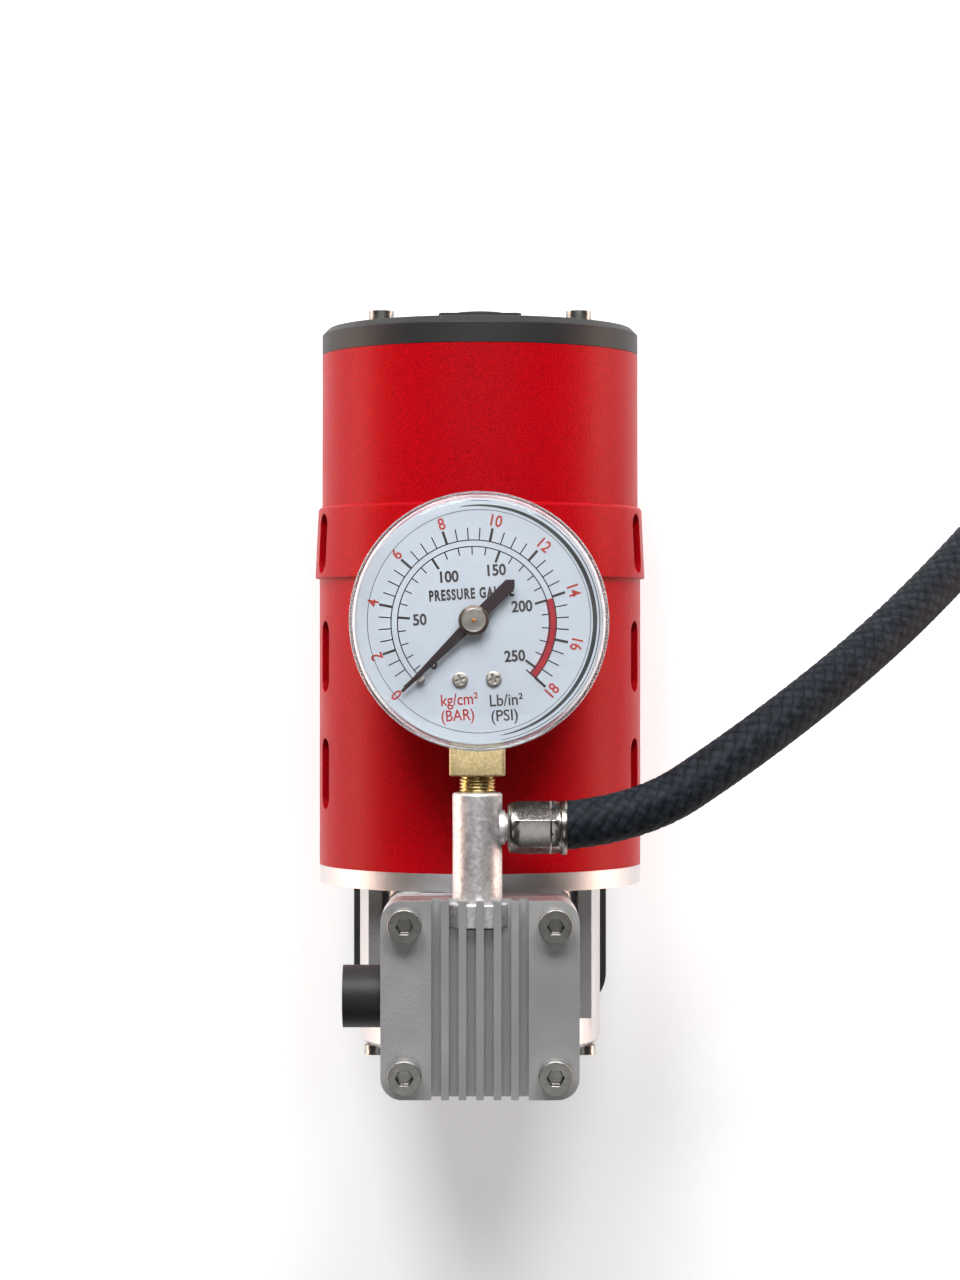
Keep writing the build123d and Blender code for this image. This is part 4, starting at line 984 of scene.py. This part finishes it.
def ferrule_radius(radius, height, angle):
    """Six nearly flat panels with rounded ends, pressed along the shell's middle."""
    if radius < FERRULE_R - 0.35:
        return radius
    pitch = 2 * pi / PANELS
    turn = (angle - PANEL_TURN + pitch / 2) % pitch - pitch / 2
    panel = PANEL_R / cos(PANEL_CURVE * turn)
    pressed = smooth_step(height, *PRESS_RISE) * (1 - smooth_step(height, *PRESS_FALL))
    return radius + (panel - radius) * pressed


def ferrule():
    """A crimped shell: a rounded mouth, the pressed panels, a bead at the hose's end and an inner wall."""
    rows = [(3.7, 0.1), (4.2, 0.0), (4.75, 0.12), (5.15, 0.42), (5.3, 0.8)]
    rows += [(FERRULE_R, 1.0 + ROW_STEP * i) for i in range(50)]
    rows += [(5.4, 11.05), (5.65, 11.2), (5.7, 11.4), (5.7, 12.1), (5.62, 12.35), (5.45, 12.4), (5.16, 12.3)]
    rows += [(5.14, 9.0), (4.0, 8.9), (3.7, 0.1)]
    turned("hose_ferrule_shell", (FERRULE_START, HOSE_Y, STEM_Z), ALONG_X, rows, FERRULE_AROUND,
           look("polished_nickel"), "frame", ["hose_ferrule"], sharp=50, radius_at=ferrule_radius)


# ---------------------------------------------------------------- hose
HOSE_ROUTE = [                    # in mm
    (8.0, HOSE_Y / MM, 104.0),
    (30.5, HOSE_Y / MM, 104.0),
    (56.0, GAUGE_Y / MM - 26.5, 99.5),
    (84.0, GAUGE_Y / MM - 6.0, 83.0),
    (107.0, GAUGE_Y / MM + 14.0, 60.0),
    (127.0, GAUGE_Y / MM + 34.0, 37.0),
    (148.0, GAUGE_Y / MM + 49.0, 21.0),
    (169.0, GAUGE_Y / MM + 54.0, 13.0),
    (189.0, GAUGE_Y / MM + 53.0, 7.5),
]
COIL = Vector((187 * MM, GAUGE_Y + 5 * MM, 0))
TURN_IN_R = 48 * MM
TURN_OUT_R = 62 * MM
COIL_ANGLES = (72, -360)          # degrees
WIDENING = (110, 220)             # degrees past +X over which the inner turn becomes the outer one
POINTS_PER_TURN = 16
CARRIERS = 10                     # strand bundles each way round
BRAID_DEPTH = 0.3 * MM
BRAID_STEP = 0.4 * MM
BRAID_AROUND = 72
STRAND_ROUND = 0.6                # a lower power makes flatter strands


def coil_points():
    """The inner turn, clockwise from over the coil's middle, widening to the outer turn and its tail."""
    points = []
    start, stop = COIL_ANGLES
    steps = round((start - stop) / 360 * POINTS_PER_TURN)
    for i in range(1, steps + 1):
        angle = start + (stop - start) * i / steps
        radius = TURN_IN_R + (TURN_OUT_R - TURN_IN_R) * smooth_step(-angle, *WIDENING)
        points.append(COIL + Vector((radius * cos(radians(angle)), radius * sin(radians(angle)), HOSE_R)))
    points.append(COIL + Vector((TURN_OUT_R, -12 * MM, HOSE_R + 0.4 * MM)))
    points.append(COIL + Vector((TURN_OUT_R, -24 * MM, 7.0 * MM)))
    return points


def hose_line():
    """Points along the hose's middle, on one smooth spline."""
    points = [Vector(p) * MM for p in HOSE_ROUTE] + coil_points()
    data = bpy.data.curves.new("hose_line", "CURVE")
    data.dimensions = "3D"
    spline = data.splines.new("NURBS")
    spline.points.add(len(points) - 1)
    for point, place in zip(spline.points, points):
        point.co = (*place, 1)
    spline.order_u = 3
    spline.use_endpoint_u = True
    spline.resolution_u = 24
    mesh = curve_mesh("hose_line", data)
    line = [v.co.copy() for v in mesh.vertices]
    bpy.data.meshes.remove(mesh)
    return line


def walk(line, step):
    """Places a step apart along a line."""
    places = [line[0].copy()]
    left = step
    for a, b in zip(line, line[1:]):
        run = (b - a).length
        while left <= run:
            places.append(a.lerp(b, left / run))
            left += step
        left -= run
    return places


def braid_height(around, along):
    """Height of the braid from 0 to 1: two families of strands, over and under. Both places are in turns."""
    u = (around + along) * CARRIERS
    v = (around - along) * CARRIERS
    over = (int(u // 1) + int(v // 1)) % 2 == 0
    return abs(sin(pi * (u if over else v))) ** STRAND_ROUND


def air_hose():
    line = hose_line()
    places = walk(line, BRAID_STEP)
    pitch = 2 * pi * HOSE_R
    bm = bmesh.new()
    layer = bm.verts.layers.float_color.new("strand")
    up = UP
    rows = []
    for i, place in enumerate(places):
        ahead = places[min(i + 1, len(places) - 1)] - places[max(i - 1, 0)]
        ahead.normalize()
        side = ahead.cross(up).normalized()
        up = side.cross(ahead).normalized()
        row = []
        for j in range(BRAID_AROUND):
            turn = j / BRAID_AROUND
            height = braid_height(turn, i * BRAID_STEP / pitch)
            radius = HOSE_R - BRAID_DEPTH + BRAID_DEPTH * height
            vert = bm.verts.new(place + (side * cos(2 * pi * turn) + up * sin(2 * pi * turn)) * radius)
            vert[layer] = (height, height, height, 1)
            row.append(vert)
        rows.append(row)
    for low, high in zip(rows, rows[1:]):
        for j in range(BRAID_AROUND):
            k = (j + 1) % BRAID_AROUND
            bm.faces.new((low[j], low[k], high[k], high[j]))
    bm.faces.new(rows[0])
    bm.faces.new(rows[-1])
    hose = finished("braided_hose", bm, look("hose_braid"), "frame", ["air_hose", "air_hose_coil"],
                    sharp=80)


# ---------------------------------------------------------------- build
dress_cad_nodes()
for node_name, edge_width in EDGE_WIDTHS.items():
    soften(node_name, edge_width)
studio()
camera()
air_hose()
ferrule()
post()
stem()
gauge_case()
dial()
dial_fixings()
pointer()
lens()
